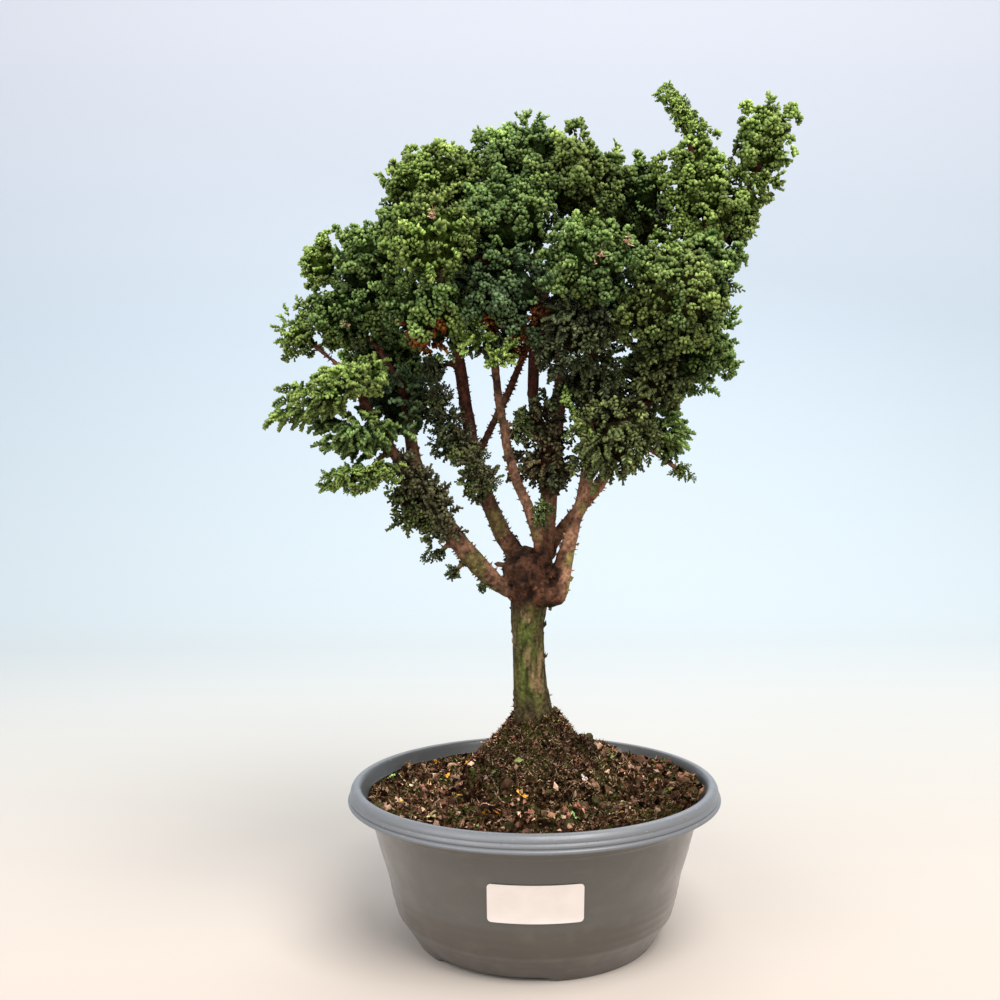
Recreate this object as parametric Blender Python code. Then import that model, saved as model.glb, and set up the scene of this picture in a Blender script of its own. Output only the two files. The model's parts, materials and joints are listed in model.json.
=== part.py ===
"""A hinoki cypress bonsai standing in its round pot.

Lengths in this script are millimetres and angles degrees, and places are measured from the pot's axis.
add_object turns them into metres and moves them so that the origin is midway between the tree's two
sides, at the bottom of the pot's feet. +Z is up and the front faces -Y.
"""

import math

import bmesh
import bpy
import numpy as np
from mathutils import Matrix, Vector

METRE = 0.001  # one millimetre in metres
POT_AXIS_X = -6.0  # where the pot's axis stands
GAP = 0.3  # clearance between neighbouring solids
WOOD_GAP = 0.35  # from the foliage to the wood
SEED = 41
SHARP_ABOVE = 50  # edges that turn by more than this aren't shaded smooth

# Pot: (radius, height) of its rim, wall, foot and inside, each row following the last
POT_SEGMENTS = 36
POT_RIM = (
    (94.6, 83.5),
    (97.0, 83.0),
    (98.9, 80.6),
    (99.2, 77.6),
    (100.0, 76.6),
    (99.8, 74.6),
)
POT_WALL = (
    (90.4, 73.6),
    (88.0, 68.8),
    (83.0, 49.6),
    (79.1, 37.1),
    (76.8, 25.8),
    (74.4, 16.6),
    (69.4, 9.4),
)
POT_FOOT = ((63.6, 0.0), (55.0, 0.0), (53.6, 3.4), (0.0, 3.4))
POT_INSIDE = ((0.0, 6.4), (62.0, 6.4), (70.8, 16.6), (79.6, 49.6), (84.6, 68.8), (90.6, 76.4), (93.0, 82.6))
FOOT_CENTRES = (-52.5, 67.5, 187.5)  # round from +X
FOOT_HALF_ANGLE = 29.0
NOTCH_HEIGHT = 2.0
DRAINS = ((0.0, 0.0, 9.0), (36.0, 0.0, 5.0), (0.0, 36.0, 5.0), (-36.0, 0.0, 5.0), (0.0, -36.0, 5.0))
DRAIN_SIDES = 10
DRAIN_MARGIN = 2.0  # how far a drill passes the floor, above and below

# Blank label on the front of the wall
LABEL_HEIGHTS = (35.0, 40.0, 45.0, 50.0, 55.5)
LABEL_LEFT, LABEL_RIGHT = -24.8, 21.4
LABEL_COLUMNS = 8
LABEL_THICKNESS = 0.4

# Soil: its level at the wall, and the mound that the trunk stands in
SOIL_SEGMENTS = 28
SOIL_BOTTOM = 6.8
SOIL_LEVEL = 75.0
SOIL_SLOPE = (0.028, -0.021)  # rise per millimetre towards +X and +Y
SOIL_RIPPLE = 0.7
SOIL_RIPPLE_SIZES = (9.0, 11.0)  # across and deep
MOUND_CENTRE = (3.5, 0.0)
MOUND_LEFT, MOUND_RIGHT = 0.99, 1.17  # spread to each side
MOUND_HEIGHT = 118.5
MOUND_RADIUS = 50.0
MOUND_POWER = 1.65
SOIL_RINGS = (0.82, 0.62, 0.42, 0.24, 0.1, 0.0)  # from the wall to the hole
SOIL_EDGE = 87.0
HOLE_CENTRE = (1.0, 2.0)
HOLE_RADIUS = 12.7
HOLE_BOTTOM = 59.6

# Limbs: rows of x, y, z and radius at points along the middle of each
TRUNK_SIDES, LIMB_SIDES, FINE_SIDES, TWIG_SIDES = 11, 7, 5, 4
FINE_RADIUS = 3.0  # limbs that start no thicker than this have FINE_SIDES
LIMBS = {
    "trunk": (
        (1, 2, 60, 12),
        (1, 2, 104, 12),
        (0.5, 1, 117, 10.9),
        (-1.5, 0, 131.5, 9.2),
        (-2, 0, 150.5, 8.6),
        (-2.5, 0, 166.5, 8.6),
        (-1.5, 0, 177, 9.6),
        (-1.5, 0, 183.5, 11.2),
        (-2, 0, 190.5, 13),
        (-2.5, 0, 197, 13.2),
        (-1.5, 1, 203, 11),
        (-0.5, 2, 207.5, 6.5),
    ),
    "left": (
        (-5.5, -3, 187, 6),
        (-12.5, -5, 185.5, 3.9),
        (-17, -6, 188.5, 4),
        (-22.5, -8, 193.5, 5),
        (-28.5, -9, 200, 5.5),
        (-35, -9, 207.5, 5.3),
        (-42.5, -9, 217.5, 5),
        (-51, -8, 230.5, 4.4),
        (-58, -6, 243.5, 3.9),
        (-63, -4, 259, 3.4),
        (-65.5, -4, 277.5, 3),
        (-68.5, -6, 296, 2.4),
    ),
    "left_outer": (
        (-51, -8, 230.5, 3.6),
        (-63, -14, 247, 3.2),
        (-73, -20, 261.5, 2.9),
        (-82.5, -24, 277, 2.7),
        (-88, -28, 291, 2.2),
    ),
    "left_rear": (
        (-2, 4, 198, 6.5),
        (-9, 5, 206, 5.5),
        (-15, 4, 214.5, 4.9),
        (-19.5, 2, 224.5, 4.5),
        (-24.5, 0, 237, 4.2),
        (-32, 0, 267, 3.6),
        (-37.5, 1, 304.5, 3.3),
        (-40, 2, 320.5, 3.1),
        (-45, 1, 342, 2.7),
        (-49, 0, 368.5, 2.2),
        (-49.5, 0, 395, 1.7),
    ),
    "cross": (
        (-30, 0, 255, 2.2),
        (-24.5, 6, 267, 2),
        (-11.5, 12, 293, 2.1),
        (1.5, 14, 324.5, 2),
        (10.5, 18, 349.5, 1.8),
    ),
    "middle": (
        (8, -8, 193, 3.4),
        (5, -12, 207, 2.6),
        (2, -12, 217.5, 2.7),
        (-2.5, -12, 232.5, 2.8),
        (-7.5, -12, 243, 2.6),
        (-12, -12, 258.5, 2.4),
        (-17, -12, 287.5, 2.2),
        (-20.5, -16, 321, 2.2),
        (-18, -18, 347, 2),
        (-13.5, -16, 370.5, 1.7),
    ),
    "centre": (
        (5.5, 3, 198.5, 6),
        (7.5, 3, 209.5, 5.4),
        (8.5, 3, 223, 5),
        (10, 3, 239.5, 4.6),
        (10, 4, 253, 4.3),
        (7.5, 5, 266.5, 4),
        (3, 5, 278.5, 3.6),
        (1.5, 5, 291, 3.1),
        (2.5, 6, 318, 3),
        (5, 8, 342.5, 2.8),
        (5, 8, 369.5, 2.4),
        (1, 6, 393.5, 2),
        (-2.5, 2, 410, 1.7),
    ),
    "right_rear": (
        (4.5, 4, 196, 4.6),
        (9, 6, 205.5, 3.9),
        (17, 8, 218.5, 3.2),
        (29, 7, 231.5, 3.1),
        (37.5, 5, 242.5, 3.1),
        (49.5, 2, 264, 3),
        (63, 0, 286.5, 2.9),
        (76, 0, 307.5, 2.7),
        (86, 0, 331, 2.5),
        (92.5, 0, 356.5, 2.3),
        (94.5, 0, 382, 2),
        (90.5, 0, 408.5, 1.7),
        (83, 0, 433.5, 1.3),
    ),
    "right_front": (
        (3, -6, 185, 6),
        (9, -9, 181.5, 5),
        (13.5, -10, 182.5, 4.3),
        (16, -10, 187, 3.4),
        (17.5, -9, 193, 3),
        (19, -8, 202.5, 2.9),
        (21, -7, 213, 3.1),
        (23.5, -6, 224.5, 3.4),
        (27.5, -5, 234, 3.9),
        (29.5, -5, 243.5, 3.8),
        (30.5, -6, 255.5, 3.4),
        (29, -8, 267, 3.1),
        (31, -12, 287, 2.9),
        (33, -16, 323, 2.6),
        (32, -18, 346.5, 2.3),
        (33, -12, 395.5, 1.7),
    ),
    "right_link": (
        (7.5, -5, 184, 3.2),
        (10.5, -6, 191.5, 2.6),
        (14, -7, 200, 2.5),
        (17, -7, 208.5, 2.6),
        (23, -7, 221.5, 2.6),
    ),
    "right_spire": (
        (92.5, 0, 354.5, 2.2),
        (104, 4, 373, 2.1),
        (114.5, 8, 389, 1.9),
        (122, 8, 407, 1.7),
        (130.5, 8, 428.5, 1.3),
    ),
    "rear": (
        (3, 8, 197, 4.8),
        (8, 15, 222.5, 4),
        (12, 18, 244.5, 3.7),
        (15, 22, 267, 3.5),
        (17.5, 30, 289.5, 3.4),
        (18.5, 39, 313.5, 3.2),
        (12, 46, 343, 2.9),
        (-1, 45, 375, 2.4),
        (-3.5, 42, 403.5, 1.9),
    ),
    "rear_left": (
        (18, 40, 316, 2.7),
        (-22, 47, 337, 2.6),
        (-48, 45, 350, 2.4),
        (-82, 38, 356, 1.8),
    ),
    "rear_right": (
        (17.5, 30, 289.5, 2.9),
        (38, 42, 319, 2.7),
        (59, 43, 335, 2.5),
        (88, 40, 352, 1.8),
    ),
}
TRUNK_RIPPLE = 0.05  # how much the trunk's sides bulge, as a share of its radius
TRUNK_RIPPLE_TURN = 1.7  # how far the bulges turn from row to row
TRUNK_PLAIN_ROWS = 3  # those inside the soil don't bulge
LUMPS = ((-6, -5, 191, 7.5), (6, -5, 188, 8), (0, 6, 193, 9))  # swellings of the knot, and their radius

# Foliage: name, middle, reach across, deep and tall, lean of the right end, tone
FOLIAGE = (
    ("spire_left_tip", (83, 0, 439), (9, 9, 22), 38, "bright"),
    ("spire_left", (93, 0, 399), (19, 18, 30), 14, "bright"),
    ("spire_right_tip", (128.5, 8, 430), (17, 15, 26), -16, "bright"),
    ("spire_right", (111, 8, 387), (17, 18, 26), -22, "bright"),
    ("right_shoulder", (93, -2, 357), (19, 26, 24), 0, "green"),
    ("right_dome", (69, -38, 335), (29, 26, 28), 0, "olive"),
    ("right_flank", (91, -8, 316), (18, 26, 24), 0, "green"),
    ("right_under", (63, -12, 295), (24, 26, 20), 0, "olive"),
    ("right_hanging", (41, -26, 267), (25, 22, 25), 0, "olive"),
    ("right_low_tip", (72, -12, 267), (16, 15, 13), 0, "green"),
    ("right_far_sprig", (79, -12, 249), (8, 7, 6), -35, "bright"),
    ("top_right", (26, -14, 400), (24, 28, 26), 0, "olive"),
    ("saddle", (61, 14, 400), (18, 20, 20), 0, "green"),
    ("mid_front", (29, -44, 354), (28, 24, 24), 0, "green"),
    ("mid_front_low", (20, -30, 319), (24, 24, 24), 0, "dark"),
    ("mid_right_low", (34, -14, 294), (24, 22, 22), 0, "dark"),
    ("top_centre", (-3, 0, 417), (24, 26, 22), 0, "green"),
    ("top_left", (-50, -4, 403), (29, 26, 23), 0, "bright"),
    ("centre_top_front", (-11, -34, 376), (26, 24, 26), 0, "green"),
    ("left_bright", (-50, -50, 364), (26, 22, 26), 0, "bright"),
    ("left_upper", (-83, -14, 362), (20, 22, 20), 0, "green"),
    ("left_upper_tip", (-109, -12, 361), (14, 12, 17), 0, "bright"),
    ("left_mid", (-95, -10, 333), (25, 24, 19), 0, "green"),
    ("left_mid_tip", (-121, -12, 323), (13, 13, 13), 0, "bright"),
    ("centre_left", (-51, -34, 332), (26, 24, 22), 0, "green"),
    ("centre_front", (-13, -38, 340), (26, 24, 22), 0, "dark"),
    ("centre_low", (-13, -26, 315), (18, 16, 12), 0, "dark"),
    ("left_frond", (-101, -34, 290.5), (38, 21, 15), 24, "bright"),
    ("left_frond_low", (-91, -24, 271), (30, 23, 17), -20, "green"),
    ("left_low_spray", (-87, -30, 248), (24, 16, 9), 10, "bright"),
    ("left_inner", (-70, -4, 286), (20, 22, 22), 0, "dark"),
    ("limb_left_hanging", (-60.5, -8, 231.5), (21, 16, 15), -38, "olive"),
    ("limb_mid_hanging", (-28.5, -10, 245), (12, 12, 16), -15, "olive"),
    ("limb_mid_upper", (-42, -3, 265.5), (12, 11, 11), 0, "dark"),
    ("limb_mid_sprig", (-53, -4, 285), (9, 8, 12), 0, "dark"),
    ("crown_low_tuft", (-52, -6, 305.5), (9, 9, 8), 0, "dark"),
    ("limb_centre_brown", (10, -4, 257), (15, 15, 29), 0, "brown"),
    ("limb_centre_base", (5, -14, 228), (7, 7, 12), 0, "green"),
    ("limb_centre_sprig", (-4, -10, 275), (8, 8, 12), 0, "green"),
    ("low_sprig_left", (-50.5, -8, 206), (10, 6, 4.5), 15, "dark"),
    ("low_sprig_mid", (-42, -10, 196), (6, 5, 5), 0, "dark"),
    ("low_sprig_right", (-26, -13, 188.5), (4, 4, 3.5), 0, "dark"),
    ("back_top", (-4, 40, 416), (30, 29, 27), 0, "green"),
    ("back_left_top", (-52, 38, 395), (30, 30, 27), 0, "olive"),
    ("back_left", (-88, 36, 355), (28, 30, 26), 0, "green"),
    ("back_left_low", (-80, 36, 310), (28, 28, 24), 0, "green"),
    ("back_centre", (-27, 55, 362), (32, 29, 30), 0, "dark"),
    ("back_right_top", (55, 42, 394), (31, 30, 28), 0, "olive"),
    ("back_right", (91, 40, 356), (27, 30, 28), 0, "green"),
    ("back_right_low", (78, 37, 310), (29, 30, 26), 0, "green"),
    ("back_mid", (36, 57, 346), (32, 27, 31), 0, "dark"),
    ("back_right_bottom", (50, 27, 281), (27, 25, 23), 0, "olive"),
)
FACE_AREA = 62.0  # of a core's faces, each the foot of one spray
CORE_SHARE = 0.55  # a core's surface against that of the full reach
SURFACE_POWER = 1.6  # in the usual approximate formula for an ellipsoid's surface
FEWEST_POINTS, MOST_POINTS = 13, 56
POINT_SHIFT = 0.1  # strays from even spacing
CORE_REACH = (0.68, 0.84)  # share of the full reach, where sprays meet
SPRAY_REACH = (0.86, 1.10)
SPRAY_LEAN = 0.10  # how far a spray's end strays from over its foot
SHORTEST_SPRAY = 1.10  # its end's distance from the middle, against its foot's
MEETING = 2.0  # masses with a wider gap than this stay apart
FILL, FILL_POWER = 0.45, 5.0  # how a mass grows towards those it meets, to close the gap between them
TWIG_START, TWIG_END = 2.5, 1.3  # greatest radii
TWIG_LIMB_SHARE, TWIG_FOLIAGE_SHARE = 0.75, 0.45  # a twig's start is within these shares of both
TWIG_TAPER = 0.6
TWIG_ARCH = 0.06  # how high a twig arches, as a share of its length
SHORTEST_TWIG = 4.0
TWIG_END_DEPTH = 0.45  # how far short of the foliage's middle a twig stops, as a share of its reach

# Colours (linear red, green, blue) and roughness
POT_LOOK = ((0.070, 0.088, 0.100), 0.45)
LABEL_LOOK = ((0.80, 0.76, 0.75), 0.55)
SOIL_LOOK = ((0.052, 0.034, 0.022), 0.95)
WOOD_LOOK = ((0.115, 0.075, 0.052), 0.85)
FOLIAGE_LOOKS = {
    "bright": ((0.200, 0.290, 0.040), 0.6),
    "green": ((0.090, 0.170, 0.035), 0.6),
    "olive": ((0.120, 0.150, 0.040), 0.6),
    "dark": ((0.045, 0.090, 0.035), 0.65),
    "brown": ((0.230, 0.110, 0.040), 0.75),
}


def clear_scene():
    """Remove every object that the scene starts with."""
    for thing in list(bpy.data.objects):
        bpy.data.objects.remove(thing)


def make_material(name, look):
    """A plain Principled material in the given colour and roughness."""
    colour, roughness = look
    material = bpy.data.materials.new(name)
    material.use_nodes = True
    shader = material.node_tree.nodes["Principled BSDF"]
    shader.inputs["Base Color"].default_value = (*colour, 1.0)
    shader.inputs["Roughness"].default_value = roughness
    shader.inputs["Metallic"].default_value = 0.0
    return material


def add_object(name, points, faces, material=None):
    """A mesh object from points in millimetres."""
    mesh = bpy.data.meshes.new(name)
    placed = [(METRE * float(x + POT_AXIS_X), METRE * float(y), METRE * float(z)) for x, y, z in points]
    mesh.from_pydata(placed, [], faces)
    mesh.validate()
    if material:
        mesh.materials.append(material)
    thing = bpy.data.objects.new(name, mesh)
    bpy.context.scene.collection.objects.link(thing)
    return thing


def shade_round(thing):
    """Smooth shading with sharp edges kept."""
    thing.data.shade_smooth()
    thing.data.set_sharp_from_angle(angle=math.radians(SHARP_ABOVE))


def apply_boolean(thing, operation, solver, other=None, collection=None):
    """Apply one Boolean to an object's own mesh, in place."""
    modifier = thing.modifiers.new(operation.lower(), "BOOLEAN")
    modifier.operation = operation
    modifier.solver = solver
    if collection:
        modifier.operand_type = "COLLECTION"
        modifier.collection = collection
    else:
        modifier.object = other
    bpy.context.view_layer.update()
    graph = bpy.context.evaluated_depsgraph_get()
    result = bpy.data.meshes.new_from_object(thing.evaluated_get(graph))
    thing.modifiers.clear()
    thing.data = result


def bridge_rings(count, sides, first=0):
    """Triangles between rings that follow each other, each ring having the same number of sides."""
    triangles = []
    for row in range(count - 1):
        for side in range(sides):
            following = (side + 1) % sides
            low, high = first + row * sides, first + (row + 1) * sides
            triangles.append((low + side, low + following, high + following))
            triangles.append((low + side, high + following, high + side))
    return triangles


def turned_body(profile, segments, lift=None):
    """Turn a closed profile that starts and ends on the axis; lift(angle) raises points at zero height."""
    points = [(0.0, 0.0, profile[0][1])]
    rings = profile[1:-1]
    for radius, height in rings:
        for step in range(segments):
            angle = 360.0 * step / segments
            raised = lift(angle) if lift and height == 0.0 else 0.0
            turn = math.radians(angle)
            points.append((radius * math.cos(turn), radius * math.sin(turn), height + raised))
    points.append((0.0, 0.0, profile[-1][1]))
    last = len(points) - 1
    faces = [(0, 1 + side, 1 + (side + 1) % segments) for side in range(segments)]
    faces += [tuple(reversed(triangle)) for triangle in bridge_rings(len(rings), segments, 1)]
    start = 1 + (len(rings) - 1) * segments
    faces += [(last, start + (side + 1) % segments, start + side) for side in range(segments)]
    return points, faces


def notch_lift(angle):
    """Height of the foot ring's edge: on the ground at the three feet and raised between them."""
    away = min(abs((angle - centre + 180.0) % 360.0 - 180.0) for centre in FOOT_CENTRES)
    return 0.0 if away <= FOOT_HALF_ANGLE else NOTCH_HEIGHT


def make_pot():
    """The pot: a turned body with a notched foot ring and drain holes cut through its floor."""
    profile = POT_INSIDE + POT_RIM + POT_WALL + POT_FOOT
    points, faces = turned_body(profile, POT_SEGMENTS, notch_lift)
    pot = add_object("pot", points, faces, make_material("pot", POT_LOOK))
    top = POT_INSIDE[0][1] + DRAIN_MARGIN
    bottom = POT_FOOT[-1][1] - DRAIN_MARGIN
    for x, y, radius in DRAINS:
        outline = ((0.0, top), (radius, top), (radius, bottom), (0.0, bottom))
        points, faces = turned_body(outline, DRAIN_SIDES)
        drill = add_object("drill", [(px + x, py + y, pz) for px, py, pz in points], faces)
        apply_boolean(pot, "DIFFERENCE", "EXACT", drill)
        bpy.data.objects.remove(drill)
    shade_round(pot)


def wall_radius(height):
    """Outside radius of the pot's wall at a height."""
    radii, heights = zip(*reversed(POT_WALL))
    return float(np.interp(height, heights, radii))


def make_label():
    """The blank label: a thin plate that follows the wall."""
    points = []
    for offset in (GAP, GAP + LABEL_THICKNESS):
        for height in LABEL_HEIGHTS:
            radius = wall_radius(height) + offset
            for column in range(LABEL_COLUMNS + 1):
                x = LABEL_LEFT + (LABEL_RIGHT - LABEL_LEFT) * column / LABEL_COLUMNS
                points.append((x, -math.sqrt(radius**2 - x**2), height))
    wide, high = LABEL_COLUMNS + 1, len(LABEL_HEIGHTS)
    back = wide * high
    faces = []
    for row in range(high - 1):
        for column in range(wide - 1):
            corner = row * wide + column
            quad = (corner, corner + 1, corner + 1 + wide, corner + wide)
            faces.append(tuple(reversed(quad)))
            faces.append(tuple(index + back for index in quad))
    bottom_row = list(range(wide))
    right_side = [row * wide + wide - 1 for row in range(1, high)]
    top_row = [(high - 1) * wide + column for column in range(wide - 2, -1, -1)]
    left_side = [row * wide for row in range(high - 2, 0, -1)]
    edge = bottom_row + right_side + top_row + left_side
    for here, following in zip(edge, edge[1:] + edge[:1]):
        faces.append((here, following, following + back, here + back))
    label = add_object("label", points, faces, make_material("label", LABEL_LOOK))
    shade_round(label)


def soil_height(x, y):
    """Height of the soil: rippled and nearly level, higher to the right, with a mound round the trunk."""
    level = SOIL_LEVEL + SOIL_SLOPE[0] * x + SOIL_SLOPE[1] * y
    level += SOIL_RIPPLE * math.sin(x / SOIL_RIPPLE_SIZES[0]) * math.sin(y / SOIL_RIPPLE_SIZES[1])
    across = x - MOUND_CENTRE[0]
    across /= MOUND_RIGHT if across > 0 else MOUND_LEFT
    away = math.hypot(across, y - MOUND_CENTRE[1]) / MOUND_RADIUS
    rise = max(0.0, 1.0 - away**MOUND_POWER)
    return level + (MOUND_HEIGHT - level) * rise


def make_soil():
    """The soil: a body that fills the pot, with a plain hole for the trunk."""
    flats = math.cos(math.pi / POT_SEGMENTS)  # the pot's flat sides lie this much inside its corners
    angles = [2 * math.pi * step / SOIL_SEGMENTS for step in range(SOIL_SEGMENTS)]
    inside_radii, inside_heights = zip(*POT_INSIDE[3:])
    rings = []
    for radius, height in POT_INSIDE[1:-2]:
        fitted = radius * flats - GAP
        rings.append([(fitted * math.cos(a), fitted * math.sin(a), max(height, SOIL_BOTTOM)) for a in angles])
    edge = []
    for a in angles:
        top = soil_height(SOIL_EDGE * math.cos(a), SOIL_EDGE * math.sin(a))
        fitted = float(np.interp(top, inside_heights, inside_radii)) * flats - GAP
        edge.append((fitted * math.cos(a), fitted * math.sin(a), top))
    rings.append(edge)
    for share in SOIL_RINGS:
        ring = []
        for a, outer in zip(angles, edge):
            inner = (HOLE_CENTRE[0] + HOLE_RADIUS * math.cos(a), HOLE_CENTRE[1] + HOLE_RADIUS * math.sin(a))
            x = inner[0] + (outer[0] - inner[0]) * share
            y = inner[1] + (outer[1] - inner[1]) * share
            ring.append((x, y, soil_height(x, y)))
        rings.append(ring)
    rings.append([(x, y, HOLE_BOTTOM) for x, y, _ in rings[-1]])
    points = [(0.0, 0.0, SOIL_BOTTOM)] + [point for ring in rings for point in ring]
    points.append((*HOLE_CENTRE, HOLE_BOTTOM))
    last = len(points) - 1
    start = 1 + (len(rings) - 1) * SOIL_SEGMENTS
    faces = [(0, 1 + (side + 1) % SOIL_SEGMENTS, 1 + side) for side in range(SOIL_SEGMENTS)]
    faces += bridge_rings(len(rings), SOIL_SEGMENTS, 1)
    faces += [(last, start + side, start + (side + 1) % SOIL_SEGMENTS) for side in range(SOIL_SEGMENTS)]
    soil = add_object("soil", points, faces, make_material("soil", SOIL_LOOK))
    shade_round(soil)


def tube(rows, sides, extra=0.0, ripple=0.0):
    """A closed tube through rows of x, y, z and radius; extra widens it all over."""
    middles = [Vector(row[:3]) for row in rows]
    points = []
    across = Vector((0.0, -1.0, 0.0))
    spread = 1.0 / math.cos(math.pi / sides)
    for index, row in enumerate(rows):
        before, after = middles[max(index - 1, 0)], middles[min(index + 1, len(rows) - 1)]
        along = (after - before).normalized()
        across = (across - along * across.dot(along)).normalized()
        aside = along.cross(across)
        middle = middles[index]
        if extra and index in (0, len(rows) - 1):
            middle = middle + along * (extra if index else -extra)
        for side in range(sides):
            turn = 2 * math.pi * side / sides
            bulge = ripple * math.sin(3 * side + TRUNK_RIPPLE_TURN * index)
            radius = row[3] * (1.0 + (bulge if index >= TRUNK_PLAIN_ROWS else 0.0)) + extra * spread
            points.append(middle + radius * (math.cos(turn) * across + math.sin(turn) * aside))
    faces = bridge_rings(len(rows), sides)
    faces.append(tuple(reversed(range(sides))))
    faces.append(tuple(range((len(rows) - 1) * sides, len(rows) * sides)))
    return points, faces


def lump(middle, radius):
    """A low ball, for a swelling of the wood."""
    ball = bmesh.new()
    bmesh.ops.create_icosphere(ball, subdivisions=1, radius=radius, matrix=Matrix.Translation(middle))
    points = [vertex.co.copy() for vertex in ball.verts]
    faces = [tuple(vertex.index for vertex in face.verts) for face in ball.faces]
    ball.free()
    return points, faces


def nearest_on_limbs(target):
    """The nearest place on any limb's middle line, with the limb's radius there."""
    best = None
    for name, rows in LIMBS.items():
        if name == "trunk":
            continue
        for first, second in zip(rows, rows[1:]):
            start, end = Vector(first[:3]), Vector(second[:3])
            share = (target - start).dot(end - start) / (end - start).length_squared
            share = min(max(share, 0.0), 1.0)
            place = start.lerp(end, share)
            radius = first[3] + (second[3] - first[3]) * share
            if best is None or (place - target).length < (best[0] - target).length:
                best = (place, radius)
    return best


def twig_rows(middle, reach):
    """The twig that carries one mass of foliage, or nothing where a limb already runs through it."""
    target = Vector(middle)
    start, radius = nearest_on_limbs(target)
    distance = (target - start).length
    smallest = min(reach)
    if distance < smallest * TWIG_END_DEPTH + SHORTEST_TWIG:
        return None
    thick = min(TWIG_START, TWIG_LIMB_SHARE * radius, TWIG_FOLIAGE_SHARE * smallest)
    thin = min(TWIG_END, TWIG_TAPER * thick)
    end = target + (start - target).normalized() * smallest * TWIG_END_DEPTH
    bend = start.lerp(end, 0.5) + Vector((0.0, 0.0, TWIG_ARCH * distance))
    return ((*start, thick), (*bend, (thick + thin) / 2), (*end, thin))


def wood_solid(name, extra=0.0):
    """Trunk, knot, limbs and twigs joined as one solid; extra widens all of it."""
    pieces = bpy.data.collections.new(name + "_pieces")
    bpy.context.scene.collection.children.link(pieces)
    shapes = []
    for limb, rows in LIMBS.items():
        if limb == "trunk":
            continue
        sides = LIMB_SIDES if rows[0][3] > FINE_RADIUS else FINE_SIDES
        shapes.append(tube(rows, sides, extra))
    for x, y, z, radius in LUMPS:
        shapes.append(lump((x, y, z), radius + extra))
    for _, middle, reach, _, _ in FOLIAGE:
        rows = twig_rows(middle, reach)
        if rows:
            shapes.append(tube(rows, TWIG_SIDES, extra))
    for points, faces in shapes:
        piece = add_object(name + "_piece", points, faces)
        bpy.context.scene.collection.objects.unlink(piece)
        pieces.objects.link(piece)
    wood = add_object(name, *tube(LIMBS["trunk"], TRUNK_SIDES, extra, TRUNK_RIPPLE))
    apply_boolean(wood, "UNION", "MANIFOLD", collection=pieces)
    for piece in list(pieces.objects):
        bpy.data.objects.remove(piece)
    bpy.data.collections.remove(pieces)
    return wood


def leaning(lean):
    """Turn about the depth axis that lifts the right end by lean degrees."""
    return Matrix.Rotation(math.radians(-lean), 3, "Y")


def reach_along(direction, reach, turn):
    """Distance from the middle of a leaning ellipsoid to its surface."""
    local = turn.transposed() @ direction
    return 1.0 / math.sqrt(sum((local[axis] / reach[axis]) ** 2 for axis in range(3)))


def neighbour_planes(index):
    """Planes midway to the masses around one: direction, distance from the middle, and whether they meet."""
    _, middle, reach, lean, _ = FOLIAGE[index]
    planes = []
    for other, (_, other_middle, other_reach, other_lean, _) in enumerate(FOLIAGE):
        between = Vector(other_middle) - Vector(middle)
        if other == index or between.length > max(reach) + max(other_reach):
            continue
        direction = between.normalized()
        mine = reach_along(direction, reach, leaning(lean))
        theirs = reach_along(-direction, other_reach, leaning(other_lean))
        distance = between.length * mine / (mine + theirs) - GAP / 2
        planes.append((direction, distance, between.length - mine - theirs < MEETING))
    return planes


def free_distance(direction, wanted, planes):
    """The wanted distance along a direction, cut short where it would pass a plane."""
    for normal, distance, _ in planes:
        slope = direction.dot(normal)
        if slope > 0.0:
            wanted = min(wanted, distance / slope)
    return wanted


def core_directions(reach, turn, random):
    """Evenly spread directions for a core's corners, and the triangles between them."""
    terms = [(reach[a] * reach[b]) ** SURFACE_POWER for a, b in ((0, 1), (0, 2), (1, 2))]
    surface = 4 * math.pi * (sum(terms) / 3) ** (1 / SURFACE_POWER)
    count = int(min(max(surface * CORE_SHARE / FACE_AREA / 2 + 2, FEWEST_POINTS), MOST_POINTS))
    golden = math.pi * (3 - math.sqrt(5))
    spin = random.uniform(0, 2 * math.pi)
    shell = bmesh.new()
    for step in range(count):
        height = 1 - 2 * (step + 0.5) / count
        ring = math.sqrt(1 - height**2)
        angle = golden * step + spin
        place = Vector((ring * math.cos(angle), height, ring * math.sin(angle)))
        place = (place + POINT_SHIFT * Vector(random.uniform(-1, 1, 3))).normalized()
        shell.verts.new(turn @ Vector([place[axis] * reach[axis] for axis in range(3)]))
    bmesh.ops.convex_hull(shell, input=shell.verts)
    bmesh.ops.triangulate(shell, faces=shell.faces)
    bmesh.ops.recalc_face_normals(shell, faces=shell.faces)
    shell.verts.index_update()
    directions = [vertex.co.normalized() for vertex in shell.verts]
    triangles = [tuple(vertex.index for vertex in face.verts) for face in shell.faces]
    shell.free()
    return directions, triangles


def filled_reach(direction, reach, turn, planes):
    """Reach along a direction, longer towards neighbouring masses so that no gap is left between them."""
    towards = max([direction.dot(normal) for normal, _, meets in planes if meets], default=0.0)
    return reach_along(direction, reach, turn) * (1.0 + FILL * max(towards, 0.0) ** FILL_POWER)


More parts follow.
